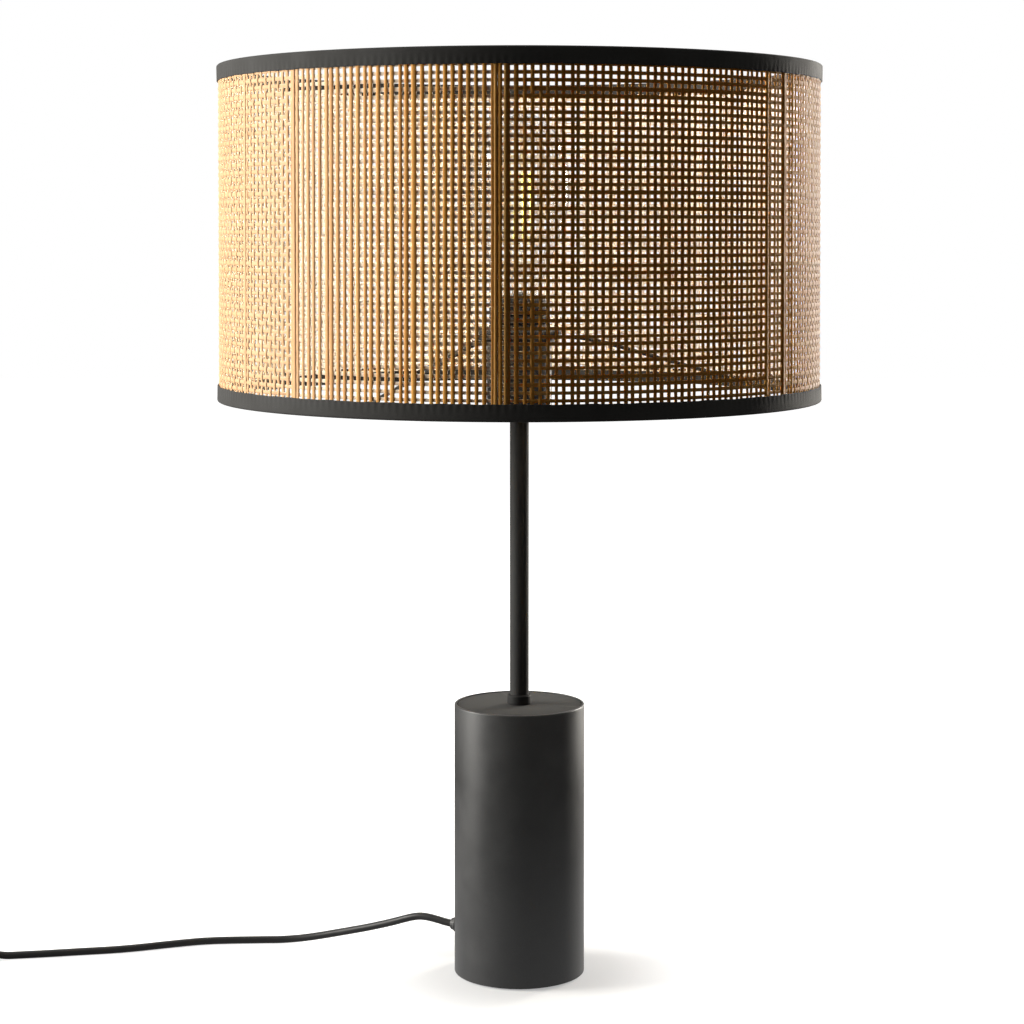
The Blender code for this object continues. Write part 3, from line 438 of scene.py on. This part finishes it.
t = Tree("porcelain")
co = t.object_co()
t.set(colour=t.mix(t.span(t.noise(co, 120.0), 0.35, 0.7, 0.0, 1.0), (0.83, 0.81, 0.75), (0.74, 0.71, 0.63)),
      rough=t.span(t.noise(co, 300.0), 0.3, 0.7, 0.12, 0.3), coat=0.5)
PORCELAIN = t.mat

t = Tree("clear_glass")
t.set(colour=(0.985, 0.992, 0.99, 1.0), trans=1.0, ior=1.33, rough=t.span(t.noise(t.object_co(), 30.0, 2.0), 0.4, 0.8, 0.0, 0.015))
GLASS = t.mat

t = Tree("phosphor")
co = t.object_co()
dots = t.noise(t.stretch(co, (1.0, 1.0, 1.6)), 900.0, 2.0)
t.set(colour=t.mix(t.span(dots, 0.35, 0.7, 0.0, 1.0), (0.50, 0.42, 0.05), (0.62, 0.55, 0.12)), rough=0.45,
      normal=t.bump(dots, 0.3, 0.0001), emit=(1.0, 0.93, 0.10, 1.0), emit_strength=1.2)
PHOSPHOR = t.mat

# woven strap of the cord's tie
t = Tree("tie_strap")
co = t.object_co()
rib = t.add("ShaderNodeTexWave", {"Vector": co, "Scale": 420.0, "Distortion": 1.5, "Detail": 2.0}, wave_type="BANDS", bands_direction="DIAGONAL").outputs["Fac"]
t.set(colour=t.mix(rib, (0.010, 0.010, 0.010), (0.032, 0.032, 0.032)), rough=0.85, sheen=0.4, normal=t.bump(rib, 0.8, 0.0003))
STRAP = t.mat

# binding tape: dull black paper-backed cloth with a close thread pattern
t = Tree("trim_tape")
co = t.object_co()
sep = t.add("ShaderNodeSeparateXYZ", {"Vector": co})
turn = t.math("ARCTAN2", sep.outputs["Y"], sep.outputs["X"])
warp_ = t.math("SINE", t.math("MULTIPLY", turn, 2100.0))
weft_ = t.math("SINE", t.math("MULTIPLY", sep.outputs["Z"], 11000.0))
thread = t.math("MULTIPLY", t.math("MULTIPLY", warp_, weft_), 0.5)
cloud = t.noise(co, 30.0, 5.0)
fuzz = t.noise(co, 2400.0, 2.0)
colour = t.mix(t.span(cloud, 0.3, 0.7, 0.0, 1.0), (0.0120, 0.0113, 0.0103), (0.0178, 0.0168, 0.0153))
colour = t.mix(t.span(fuzz, 0.5, 0.8, 0.0, 0.4), colour, (0.032, 0.031, 0.029))
t.set(colour=colour, rough=t.span(cloud, 0.3, 0.7, 0.80, 0.92), spec=0.48, sheen=0.03, sheen_rough=0.4,
      normal=t.bump(t.math("ADD", thread, fuzz), 0.35, 0.00010))
TAPE = t.mat

# cane: the smooth bark side is outside, the pale pith side inside
t = Tree("woven_cane")
s = t.add("ShaderNodeAttribute", attribute_name="strand").outputs["Vector"]     # along, across, random number
side = t.add("ShaderNodeAttribute", attribute_name="side").outputs["Fac"]
tone = t.add("ShaderNodeSeparateXYZ", {"Vector": s}).outputs["Z"]
fibre = t.noise(t.stretch(s, (60.0, 3200.0, 37.0)), 1.0, 5.0, 0.6)
blotch = t.noise(t.stretch(s, (28.0, 60.0, 91.0)), 1.0, 3.0)
nodes_ = t.noise(t.stretch(s, (9.0, 0.0, 53.0)), 1.0, 1.0)
bark = t.ramp(tone, [(0.0, (0.46, 0.180, 0.020)), (0.4, (0.59, 0.250, 0.030)), (0.7, (0.68, 0.315, 0.048)), (1.0, (0.74, 0.420, 0.120))])
# painted light: the bark is mixed towards a pale tan on the drum's left and right faces, where the key and rim lights
# fall
painted_light = t.add("ShaderNodeAttribute", attribute_name="painted_light").outputs["Fac"]
bark = t.mix(painted_light, bark, (0.655, 0.415, 0.235))
bark = t.mix(t.span(blotch, 0.35, 0.75, 0.0, 0.32), bark, (0.42, 0.150, 0.022))
bark = t.mix(t.span(fibre, 0.45, 0.75, 0.0, 0.35), bark, (0.80, 0.50, 0.20))
bark = t.mix(t.span(nodes_, 0.68, 0.74, 0.0, 0.42), bark, (0.26, 0.085, 0.014))
pith = t.mix(t.span(fibre, 0.3, 0.7, 0.0, 1.0), (0.96, 0.90, 0.80), (0.92, 0.83, 0.69))
pith = t.mix(t.span(tone, 0.0, 1.0, 0.0, 0.20), pith, (0.86, 0.72, 0.52))
both = t.mix(t.span(side, 0.35, 0.65, 0.0, 1.0), pith, bark)
t.set(colour=both, rough=t.span(fibre, 0.3, 0.7, 0.45, 0.62), spec=0.12, normal=t.bump(fibre, 0.45, 0.00012))
thin = t.add("ShaderNodeBsdfTranslucent", {"Color": t.mix(t.span(tone, 0.0, 1.0, 0.0, 1.0), (0.95, 0.20, 0.030), (0.97, 0.27, 0.050))})
mixer = t.add("ShaderNodeMixShader", {0: 0.045})
t.nt.links.new(t.bsdf.outputs[0], mixer.inputs[1])
t.nt.links.new(thin.outputs[0], mixer.inputs[2])
t.nt.links.new(mixer.outputs[0], t.out.inputs["Surface"])
CANE = t.mat

# -------------------------------------------------------------- woven panel
SHADE_R, SHADE_Z0, SHADE_Z1 = 0.1900, 0.3652, 0.5741
CANE_MID = 0.18822
PITCH = 0.00445
N_UP = 2 * round(2 * math.pi * CANE_MID / PITCH / 2)      # upright strands
ROW_Z = SHADE_Z0 + 0.0010 + PITCH * (np.arange(47) + 0.45)
ROW_Z = ROW_Z[ROW_Z < SHADE_Z1 - 0.0010]
SECTION = np.array([(-0.5, -0.30), (-0.5, 0.22), (-0.22, 0.50), (0.22, 0.50), (0.5, 0.22), (0.5, -0.30), (0.2, -0.44), (-0.2, -0.44)])
TOP_FACE = np.array([0.0, 0.0, 1.0, 1.0, 0.0, 0.0, 0.0, 0.0])
FLANK_TOP = np.array([0.0, 1.0, 0.0, 0.0, 1.0, 0.0, 0.0, 0.0])
FLANK_LOW = np.array([1.0, 0.0, 0.0, 0.0, 0.0, 1.0, 0.0, 0.0])


def step(x, a, b):
    w = np.clip((x - a) / (b - a), 0, 1)
    return w * w * (3 - 2 * w)


def from_front(th):
    """Degrees round the drum from the middle of its front, positive to the right."""
    return (np.degrees(th) + 90.0 + 180.0) % 360.0 - 180.0


def painted_side_light(th):
    """The cane is painted paler on its left and right faces, where the key and rim lights fall: painted light."""
    d = from_front(th)
    return np.where(d < 0, step(-d, 12.0, 56.0) * (1 - step(-d, 120.0, 165.0)), 0.8 * step(d, 58.0, 74.0) * (1 - step(d, 110.0, 150.0)))


def proudness(th):
    """Where the uprights lie outside all the rows, beside the seam."""
    d = from_front(th)
    return step(d, -54.0, -38.0) * (1 - step(d, -4.0, 6.0))


def crowding(th):
    """The strands lie closer on the left and right faces."""
    d = from_front(th)
    return np.where(d < 0, step(-d, 36.0, 54.0) * (1 - step(-d, 110.0, 140.0)), step(d, 56.0, 66.0) * (1 - step(d, 100.0, 130.0)))


def waviness(th):
    """The strands of the front are pressed flatter than the others."""
    d = from_front(th)
    return 1 - 0.55 * step(d, -8.0, 8.0) * (1 - step(d, 52.0, 66.0))


def strands(name, paths):
    """Flat strands as one mesh. Each path is (angles, heights, radii, widths, thickness, upright, random)."""
    verts, faces, data, side_, painted_lights = [], [], [], [], []
    base = 0
    m = len(SECTION)
    for th, z, r, w, thick, upright, rand in paths:
        n = len(th)
        across = SECTION[None, :, 0] * w[:, None]
        proud = SECTION[None, :, 1] * thick
        rr = r[:, None] + proud
        if upright:
            a = th[:, None] + across / CANE_MID
            zz = np.repeat(z[:, None], m, 1)
            along = z
        else:
            a = np.repeat(th[:, None], m, 1)
            zz = z[:, None] + across
            along = th * CANE_MID
        verts.append(np.stack([rr * np.cos(a), rr * np.sin(a), zz], -1).reshape(-1, 3))
        data.append(np.stack([np.repeat(along[:, None], m, 1), across, np.full((n, m), rand)], -1).reshape(-1, 3))
        # Towards the drum's left face the strands' flanks and the rows show more of the pale pith: a painted highlight
        # where the key light falls.
        painted_pith_light = np.clip(proudness(th) + np.where(from_front(th) < 0, crowding(th), 0), 0, 1)[:, None]
        outer = TOP_FACE + FLANK_TOP * (0.95 - 0.35 * painted_pith_light) + FLANK_LOW * (0.75 - 0.50 * painted_pith_light)
        if not upright:
            outer = outer * (1 - 0.55 * proudness(th)[:, None] - 0.12 * (painted_pith_light - proudness(th)[:, None]))
        side_.append(outer.ravel())
        # painted light: paler bark on the left and right faces, with a random share per strand
        painted_lights.append(np.repeat(painted_side_light(th) * (0.85 + 0.3 * rand), m))
        i = np.arange(n - 1)[:, None] * m + base
        k = np.arange(m)[None, :]
        k2 = (k + 1) % m
        quad = np.stack([i + k, i + k2, i + m + k2, i + m + k], -1).reshape(-1, 4)
        if upright:
            quad = quad[:, ::-1]
        faces.append(quad)
        cap0 = base + np.arange(m)
        cap1 = base + (n - 1) * m + np.arange(m)
        half = np.array([[0, 1, 4, 5], [1, 2, 3, 4], [0, 5, 6, 7]])
        c0, c1 = cap0[half], cap1[half][:, ::-1]
        faces += [c0[:, ::-1], c1[:, ::-1]] if not upright else [c0, c1]
        base += n * m
    v = np.concatenate(verts)
    f = np.concatenate(faces)
    me = bpy.data.meshes.new(name)
    me.vertices.add(len(v))
    me.vertices.foreach_set("co", v.astype(np.float32).ravel())
    me.loops.add(f.size)
    me.loops.foreach_set("vertex_index", f.astype(np.int32).ravel())
    me.polygons.add(len(f))
    me.polygons.foreach_set("loop_start", (np.arange(len(f)) * 4).astype(np.int32))
    me.update(calc_edges=True)
    me.attributes.new("strand", "FLOAT_VECTOR", "POINT").data.foreach_set("vector", np.concatenate(data).astype(np.float32).ravel())
    me.attributes.new("side", "FLOAT", "POINT").data.foreach_set("value", np.concatenate(side_).astype(np.float32))
    me.attributes.new("painted_light", "FLOAT", "POINT").data.foreach_set("value", np.concatenate(painted_lights).clip(0, 1).astype(np.float32))
    return make(name, me, CANE, "shade", "cane_panel", slot="woven_cane", angle=None)


UP_W, ROW_W, THICK, WAVE = 0.00210, 0.00208, 0.00070, 0.00036
up_angle = (np.arange(N_UP) + rng.normal(0, 0.075, N_UP)) * 2 * math.pi / N_UP
up_width = UP_W * (1 + np.clip(rng.normal(0, 0.12, N_UP), -0.24, 0.26))
up_tone = np.clip(rng.normal(0.42, 0.30, N_UP), 0, 1)
row_shift = rng.normal(0, 0.00016, len(ROW_Z))
row_width = ROW_W * (1 + np.clip(rng.normal(0, 0.08, len(ROW_Z)), -0.18, 0.18))
row_tone = np.clip(rng.normal(0.62, 0.16, len(ROW_Z)), 0, 1)
SEAM = math.radians(-90 - 3.9)
zs = np.concatenate([[SHADE_Z0 + 0.0016], np.sort(np.concatenate([ROW_Z, (ROW_Z[1:] + ROW_Z[:-1]) / 2])), [SHADE_Z1 - 0.0016]])
zs = zs[(zs >= SHADE_Z0 + 0.0015) & (zs <= SHADE_Z1 - 0.0015)]
row_phase = (zs - ROW_Z[0]) / PITCH


def drift(x, seed, size):
    """A slow waver along a strand."""
    k = np.arange(1, 5)
    r_ = np.random.default_rng(seed)
    return size * (np.sin(x[:, None] * k[None, :] * 9.0 + r_.uniform(0, 6.28, 4)[None, :]) * (r_.normal(0, 1, 4) / k)[None, :]).sum(1)


ups = []
for j in range(N_UP):
    a = up_angle[j] + drift(zs, 100 + j, 0.00014) / CANE_MID
    p_ = proudness(a)
    r_ = CANE_MID + (1 - p_) * WAVE * waviness(a) * np.cos(math.pi * (row_phase + j)) + p_ * 0.00026
    ups.append((a, zs, r_, up_width[j] * (1 + 0.05 * np.sin(zs * 300 + j)) * (1 + 0.20 * p_ + 0.24 * crowding(a)), THICK, True, up_tone[j]))
ths = np.arange(N_UP * 2 + 1) * math.pi / N_UP
rows = []
for i, z in enumerate(ROW_Z):
    zz = z + row_shift[i] + drift(ths, 900 + i, 0.00010) * np.sin(ths / 2) ** 2
    lap = ths + SEAM
    p_ = proudness(lap)
    r_ = CANE_MID - (1 - p_) * WAVE * waviness(lap) * np.cos(math.pi * (i + lap * N_UP / (2 * math.pi))) - p_ * 0.00014
    rows.append((lap, zz, r_, row_width[i] * (1 + 0.05 * np.sin(ths * 40 + i)) * (1 + 0.15 * crowding(lap)), THICK, False, row_tone[i]))
for off, wide, tone_ in ((-0.0038, 0.0020, 0.80), (-0.0011, 0.0021, 0.55), (0.0017, 0.0019, 0.85)):
    a = SEAM + 0.9 * math.pi / 180 + (off + drift(zs, 400 + int(off * 1e4), 0.00012)) / CANE_MID
    ups.append((a, zs, np.full(len(zs), CANE_MID + 0.00050), np.full(len(zs), wide), THICK, True, tone_))
for deg, wide, tone_ in ((49.5, 0.0029, 0.55), (55.3, 0.0027, 0.35), (58.6, 0.0022, 0.2), (-43.5, 0.0023, 0.0), (-59.5, 0.0022, 0.8)):
    a = math.radians(deg - 90) + drift(zs, 700 + int(deg), 0.00016) / CANE_MID
    ups.append((a, zs, np.full(len(zs), CANE_MID + 0.00050), np.full(len(zs), wide), THICK, True, tone_))
third = len(ups) // 3
for k in range(3):
    strands("cane_uprights_%d" % (k + 1), ups[k * third:(k + 1) * third if k < 2 else len(ups)])
for k in range(3):
    n = len(rows) // 3
    strands("cane_rows_%d" % (k + 1), rows[k * n:(k + 1) * n if k < 2 else len(rows)])

# ---------------------------------------------------------------------- trims
def tape(name, node, up):
    t_, r_in, wide_out, wide_in = 0.0007, SHADE_R - 0.0062, 0.0100, 0.0075
    prof = [(r_in + t_, wide_in, 0), (r_in + t_, t_, 0.0005), (SHADE_R - t_ - 0.00005, t_, 0.0005), (SHADE_R - t_ - 0.00005, wide_out, 0),
            (SHADE_R - 0.0002, wide_out, 0.00015), (SHADE_R - 0.00006, 0.0, 0.0012), (r_in, 0.0, 0.0012), (r_in, wide_in, 0)]
    prof = fillet(prof, 5)
    # more rings down the outer leg, for the dents over the weave
    dense = []
    for p, q in zip(prof, prof[1:] + prof[:1]):
        dense.append(p)
        if abs(p[0] - q[0]) < 0.0004 and abs(p[1] - q[1]) > 0.004 and p[0] > SHADE_R - 0.0005:
            dense += [(p[0] + (q[0] - p[0]) * k / 8, p[1] + (q[1] - p[1]) * k / 8) for k in range(1, 8)]
    seg = N_UP * 4

    def warp(ang, r, z):
        free = np.clip((z - 0.0015) / (wide_out - 0.0015), 0, 1) ** 1.5
        dents = 0.5 + 0.5 * np.cos(ang * N_UP)
        wave = 0.00007 * np.sin(ang * 7 + 1.0) + 0.00005 * np.sin(ang * 19 + 2.0)
        on = (r > SHADE_R - 0.0012) * free
        r = r - on * (0.00028 * dents + 0.00004 + np.abs(wave) * 0.6)
        z = z + (z > 0.5 * wide_out) * (0.00012 * np.sin(ang * 31) + 0.0001 * np.sin(ang * 83 + 1.0))
        return r, (SHADE_Z0 + z) if up else (SHADE_Z1 - z)

    return make(name, lathe_mesh(name, dense, seg, warp=warp), TAPE, "shade", node, slot="trim_tape", angle=50)


tape("top_binding", "top_trim", False)
tape("bottom_binding", "bottom_trim", True)

# ------------------------------------------------- carrier arms
ARM_PROFILE = ((0.0293, 0.4042), (0.0400, 0.4034), (0.0560, 0.4002), (0.0725, 0.3956),
               (0.0905, 0.3906), (0.1080, 0.3857), (0.1230, 0.3815), (0.1400, 0.3768),
               (0.1530, 0.3736), (0.1680, 0.3702), (0.1841, 0.3680))
for i, a in enumerate((-3.0, 117.0, 237.0), 1):
    c, s_ = math.cos(math.radians(a)), math.sin(math.radians(a))
    pts = smooth_line([(r * c, r * s_, z) for r, z in ARM_PROFILE], 0.0020)[0]
    curve_tube("arm_wire_%d" % i, pts, 0.00125, WIRE, "shade", "carrier_arm_%d" % i, slot="carrier_wire", resolution=3)

# ----------------------------------------------------------------------- base, stem and holder
BASE_R, BASE_H = 0.0412, 0.1714
tube_in = BASE_R - 0.0015
make("base_shell", lathe_mesh("base_shell", fillet([
    (tube_in, 0.0010, 0), (BASE_R, 0.0010, 0.0005), (BASE_R, BASE_H, 0.0009), (tube_in, BASE_H, 0.0004), (tube_in, 0.0010, 0)][:-1], 6), 160),
    COAT, "stand", "base_tube", slot="black_coat", angle=40)
make("top_plate", lathe_mesh("top_plate", fillet([
    (0.0053, 0.1685, 0), (tube_in - 0.0004, 0.1685, 0.0002), (tube_in - 0.0004, 0.1710, 0.0004), (0.0053, 0.1710, 0)], 4), 128),
    TOP_COAT_PAINTED_LIGHT, "stand", "top_disc", slot="black_coat", angle=40)
make("stem", lathe_mesh("stem", fillet([(0.0053, 0.1713, 0), (0.0060, 0.1713, 0), (0.0060, 0.3560, 0.0002), (0.0053, 0.3560, 0)], 3), 64),
    STEM_COAT_PAINTED_SHADE, "stand", "stem_tube", slot="black_coat", angle=40)
make("collar", lathe_mesh("collar", fillet([
    (0.0063, 0.1713, 0), (0.0076, 0.1713, 0.0003), (0.0076, 0.1766, 0.0010), (0.0066, 0.1772, 0.0004), (0.0063, 0.1772, 0)], 5), 64),
    STEM_COAT_PAINTED_SHADE, "stand", "stem_collar", slot="black_coat", angle=40)
make("holder_shell", lathe_mesh("holder_shell", fillet([
    (0.0053, 0.3563, 0), (0.0205, 0.3563, 0.0028), (0.0205, 0.4000, 0.0002), (0.0190, 0.4000, 0), (0.0190, 0.3581, 0.0016), (0.0053, 0.3581, 0)], 6), 96),
    LACQUER, "stand", "holder_cup", slot="black_lacquer", angle=40)
skirt = [(0.0148, 0.4003, 0), (0.0232, 0.4003, 0.0004), (0.0232, 0.4032, 0.0004), (0.0188, 0.4032, 0.0002)]
z = 0.4042
while z < 0.4262:
    skirt += [(0.0186, z, 0.0002), (0.0192, z + 0.0007, 0.0003), (0.0192, z + 0.0014, 0.0003), (0.0186, z + 0.0021, 0.0002)]
    z += 0.0028
skirt += [(0.0186, 0.4276, 0.0003), (0.0178, 0.4294, 0.0003), (0.0172, 0.4300, 0.0002), (0.0148, 0.4300, 0.0003)]
make("holder_thread", lathe_mesh("holder_thread", fillet(skirt, 3), 96), BAKELITE, "stand", "holder_skirt", slot="holder_plastic", angle=40)

# ----------------------------------------------------------------------- bulb
TIP, TOP = 0.4038, 0.5470


def teardrop(offset, n=44):
    key = np.array([(0.0121, 0.0130), (0.0121, 0.0262), (0.0128, 0.0300), (0.0150, 0.0370), (0.0190, 0.0470), (0.0236, 0.0580),
                    (0.0278, 0.0700), (0.0309, 0.0820), (0.0320, 0.0940), (0.0312, 0.1070), (0.0284, 0.1190), (0.0226, 0.1300),
                    (0.0130, 0.1388), (0.0, TOP - TIP)])
    k3 = np.column_stack([key, np.zeros(len(key))])
    fine = smooth_line(k3[1:], 0.0025)[0][:, :2]
    fine = np.vstack([k3[:1, :2], fine])
    d = np.gradient(fine, axis=0)
    d /= np.linalg.norm(d, axis=1)[:, None]
    moved = fine - offset * np.stack([d[:, 1], -d[:, 0]], 1)
    moved[-1, 0] = 0.0
    moved[-1, 1] = fine[-1, 1] - offset
    moved[:, 0] = np.maximum(moved[:, 0], 0.0)
    if offset:
        moved[0] = (fine[0, 0] - offset, fine[0, 1])
    return moved


outer_, inner_ = teardrop(0.0), teardrop(0.0008)
glass = [(r, h + TIP) for r, h in outer_[::-1]] + [(r, h + TIP) for r, h in inner_]
make("bulb_envelope", lathe_mesh("bulb_envelope", glass, 96, closed=False), GLASS, "bulb", "bulb_glass", slot="clear_glass", angle=60)

# --------------------------------------------- materials of the frame's nodes
for mat, names in (
        (FOAM, ["foot_pad"]), (ZINC, ["base_plate", "tie_rod", "bottom_washer", "bottom_nut", "holder_nut", "ring_washer", "switch_screw_1", "switch_screw_2"]),
        (CONCRETE, ["ballast"]), (RUBBER, ["cord_grommet"]), (JACKET, ["inner_cord"]), (CORE_A, ["core_wire_1"]), (CORE_B, ["core_wire_2"]),
        (PORCELAIN, ["terminal_block"]), (BRASS, ["terminal_screw_1", "terminal_screw_2", "centre_contact", "switch_contact_1", "switch_contact_2"]),
        (NICKEL, ["thread_shell", "bulb_contact", "bulb_cap", "bulb_lead_1", "bulb_lead_2", "plug_pin_1", "plug_pin_2"]),
        (VITRITE, ["bulb_insulator"]), (GLASS, ["bulb_stem"]), (PHOSPHOR, ["filament_1", "filament_2", "filament_3", "filament_4"]),
        (WIRE, ["carrier_ring", "bottom_wire_ring", "top_wire_ring"]), (BAKELITE, ["shade_ring"]), (STRAP, ["cord_tie"]),
        (SHELL, ["switch_base", "switch_cover", "switch_rocker", "plug_body"])):
    for n in names:
        me = NODE[n].data
        if not me.materials:
            me.materials.append(mat)
        for k in range(len(me.materials)):
            me.materials[k] = mat
        me.shade_smooth()
        me.set_sharp_from_angle(angle=math.radians(38))

# ------------------------------------------------------------ floor and light
bm = bmesh.new()
bmesh.ops.create_grid(bm, x_segments=1, y_segments=1, size=6.0)
me = bpy.data.meshes.new("floor")
bm.to_mesh(me)
bm.free()
t = Tree("floor")
co = t.object_co()
t.set(colour=(0.45, 0.45, 0.45, 1.0), rough=0.9, spec=0.0)
away = t.add("ShaderNodeVectorMath", operation="LENGTH")
t.put(away.inputs[0], co)
far = t.add("ShaderNodeMapRange", {"Value": away.outputs["Value"], "From Min": 0.22, "From Max": 0.55, "To Min": 0.0, "To Max": 1.0}, interpolation_type="SMOOTHSTEP")
# the floor's glow is weaker close to the base: a painted shadow round it
painted_base_shadow = t.add("ShaderNodeMapRange", {"Value": away.outputs["Value"], "From Min": 0.045, "From Max": 0.125, "To Min": 0.40, "To Max": 0.80}, interpolation_type="SMOOTHSTEP")
glow = t.add("ShaderNodeEmission", {"Color": (1.0, 1.0, 1.0, 1.0), "Strength": t.math("MAXIMUM", painted_base_shadow.outputs[0], far.outputs[0])})
lit = t.add("ShaderNodeAddShader")
t.nt.links.new(t.bsdf.outputs[0], lit.inputs[0])
t.nt.links.new(glow.outputs[0], lit.inputs[1])
path = t.add("ShaderNodeLightPath")
card = t.add("ShaderNodeMapRange", {"Value": away.outputs["Value"], "From Min": 0.12, "From Max": 0.50, "To Min": 0.62, "To Max": 0.03}, interpolation_type="SMOOTHSTEP")
dim = t.add("ShaderNodeEmission", {"Color": (1.0, 1.0, 1.0, 1.0), "Strength": card.outputs[0]})
clear_ = t.math("SUBTRACT", path.outputs["Is Transmission Ray"], path.outputs["Is Diffuse Ray"])
m_ = t.add("ShaderNodeMixShader", {0: t.math("MAXIMUM", path.outputs["Is Camera Ray"], clear_)})
t.nt.links.new(dim.outputs[0], m_.inputs[1])
t.nt.links.new(lit.outputs[0], m_.inputs[2])
t.nt.links.new(m_.outputs[0], t.out.inputs["Surface"])
me.materials.append(t.mat)
floor = bpy.data.objects.new("floor", me)
scene.collection.objects.link(floor)

world = bpy.data.worlds.new("studio")
scene.world = world
world.use_nodes = True
nt = world.node_tree
nt.nodes.clear()
outw = nt.nodes.new("ShaderNodeOutputWorld")
bg_cam, bg_fill = nt.nodes.new("ShaderNodeBackground"), nt.nodes.new("ShaderNodeBackground")
bg_cam.inputs[0].default_value = (1, 1, 1, 1)
tc = nt.nodes.new("ShaderNodeTexCoord")
sp_ = nt.nodes.new("ShaderNodeSeparateXYZ")
nt.links.new(tc.outputs["Generated"], sp_.inputs[0])
mr = nt.nodes.new("ShaderNodeMapRange")
for k, v in (("From Min", -0.10), ("From Max", 0.80), ("To Min", 0.045), ("To Max", 0.40)):
    mr.inputs[k].default_value = v
mr.interpolation_type = "SMOOTHSTEP"
nt.links.new(sp_.outputs["Y"], mr.inputs["Value"])
nt.links.new(mr.outputs[0], bg_fill.inputs["Strength"])
bg_fill.inputs[0].default_value = (1.0, 0.96, 0.90, 1)
lp = nt.nodes.new("ShaderNodeLightPath")
mx = nt.nodes.new("ShaderNodeMixShader")
def seen(tree, rays):
    """1 for what the camera sees directly or through clear glass."""
    clear = tree.nodes.new("ShaderNodeMath")
    clear.operation = "SUBTRACT"
    tree.links.new(rays.outputs["Is Transmission Ray"], clear.inputs[0])
    tree.links.new(rays.outputs["Is Diffuse Ray"], clear.inputs[1])
    either = tree.nodes.new("ShaderNodeMath")
    either.operation = "MAXIMUM"
    tree.links.new(rays.outputs["Is Camera Ray"], either.inputs[0])
    tree.links.new(clear.outputs[0], either.inputs[1])
    return either.outputs[0]


nt.links.new(seen(nt, lp), mx.inputs[0])
bg_gloss = nt.nodes.new("ShaderNodeBackground")
bg_gloss.inputs[0].default_value = (1.0, 0.97, 0.93, 1)
bg_gloss.inputs[1].default_value = 0.50
mg = nt.nodes.new("ShaderNodeMixShader")
nt.links.new(lp.outputs["Is Glossy Ray"], mg.inputs[0])
nt.links.new(bg_fill.outputs[0], mg.inputs[1])
nt.links.new(bg_gloss.outputs[0], mg.inputs[2])
nt.links.new(mg.outputs[0], mx.inputs[1])
nt.links.new(bg_cam.outputs[0], mx.inputs[2])
nt.links.new(mx.outputs[0], outw.inputs["Surface"])


def area(name, loc, aim, size, power, colour=(1, 1, 1)):
    li = bpy.data.lights.new(name, "AREA")
    li.shape = "RECTANGLE"
    li.size, li.size_y = size
    li.energy = power
    li.color = colour
    o = bpy.data.objects.new(name, li)
    o.location = loc
    o.rotation_euler = (Vector(aim) - Vector(loc)).to_track_quat("-Z", "Y").to_euler()
    scene.collection.objects.link(o)
    o.visible_camera = False
    return o


area("key_left", (-1.9, 0.0, 0.75), (0, 0, 0.36), (0.9, 1.2), 94.0, (1.0, 0.98, 0.93))
area("rim_right", (1.42, 1.44, 0.62), (0, 0, 0.40), (0.5, 1.2), 64.0, (1.0, 0.95, 0.87))
area("overhead", (0.0, 0.6, 1.9), (0, 0.05, 0), (1.8, 1.8), 9.0)
bulb_light = bpy.data.lights.new("bulb_light", "POINT")
bulb_light.energy, bulb_light.color, bulb_light.shadow_soft_size = 3.0, (1.0, 0.94, 0.83), 0.030
o = bpy.data.objects.new("bulb_light", bulb_light)
o.location = (0, 0, 0.487)
o.visible_camera = o.visible_glossy = o.visible_transmission = False
scene.collection.objects.link(o)
for o in [bpy.data.objects["bulb_envelope"]] + [NODE[n] for n in ("bulb_stem", "filament_1", "filament_2", "filament_3", "filament_4", "bulb_lead_1", "bulb_lead_2")]:
    o.visible_shadow = False
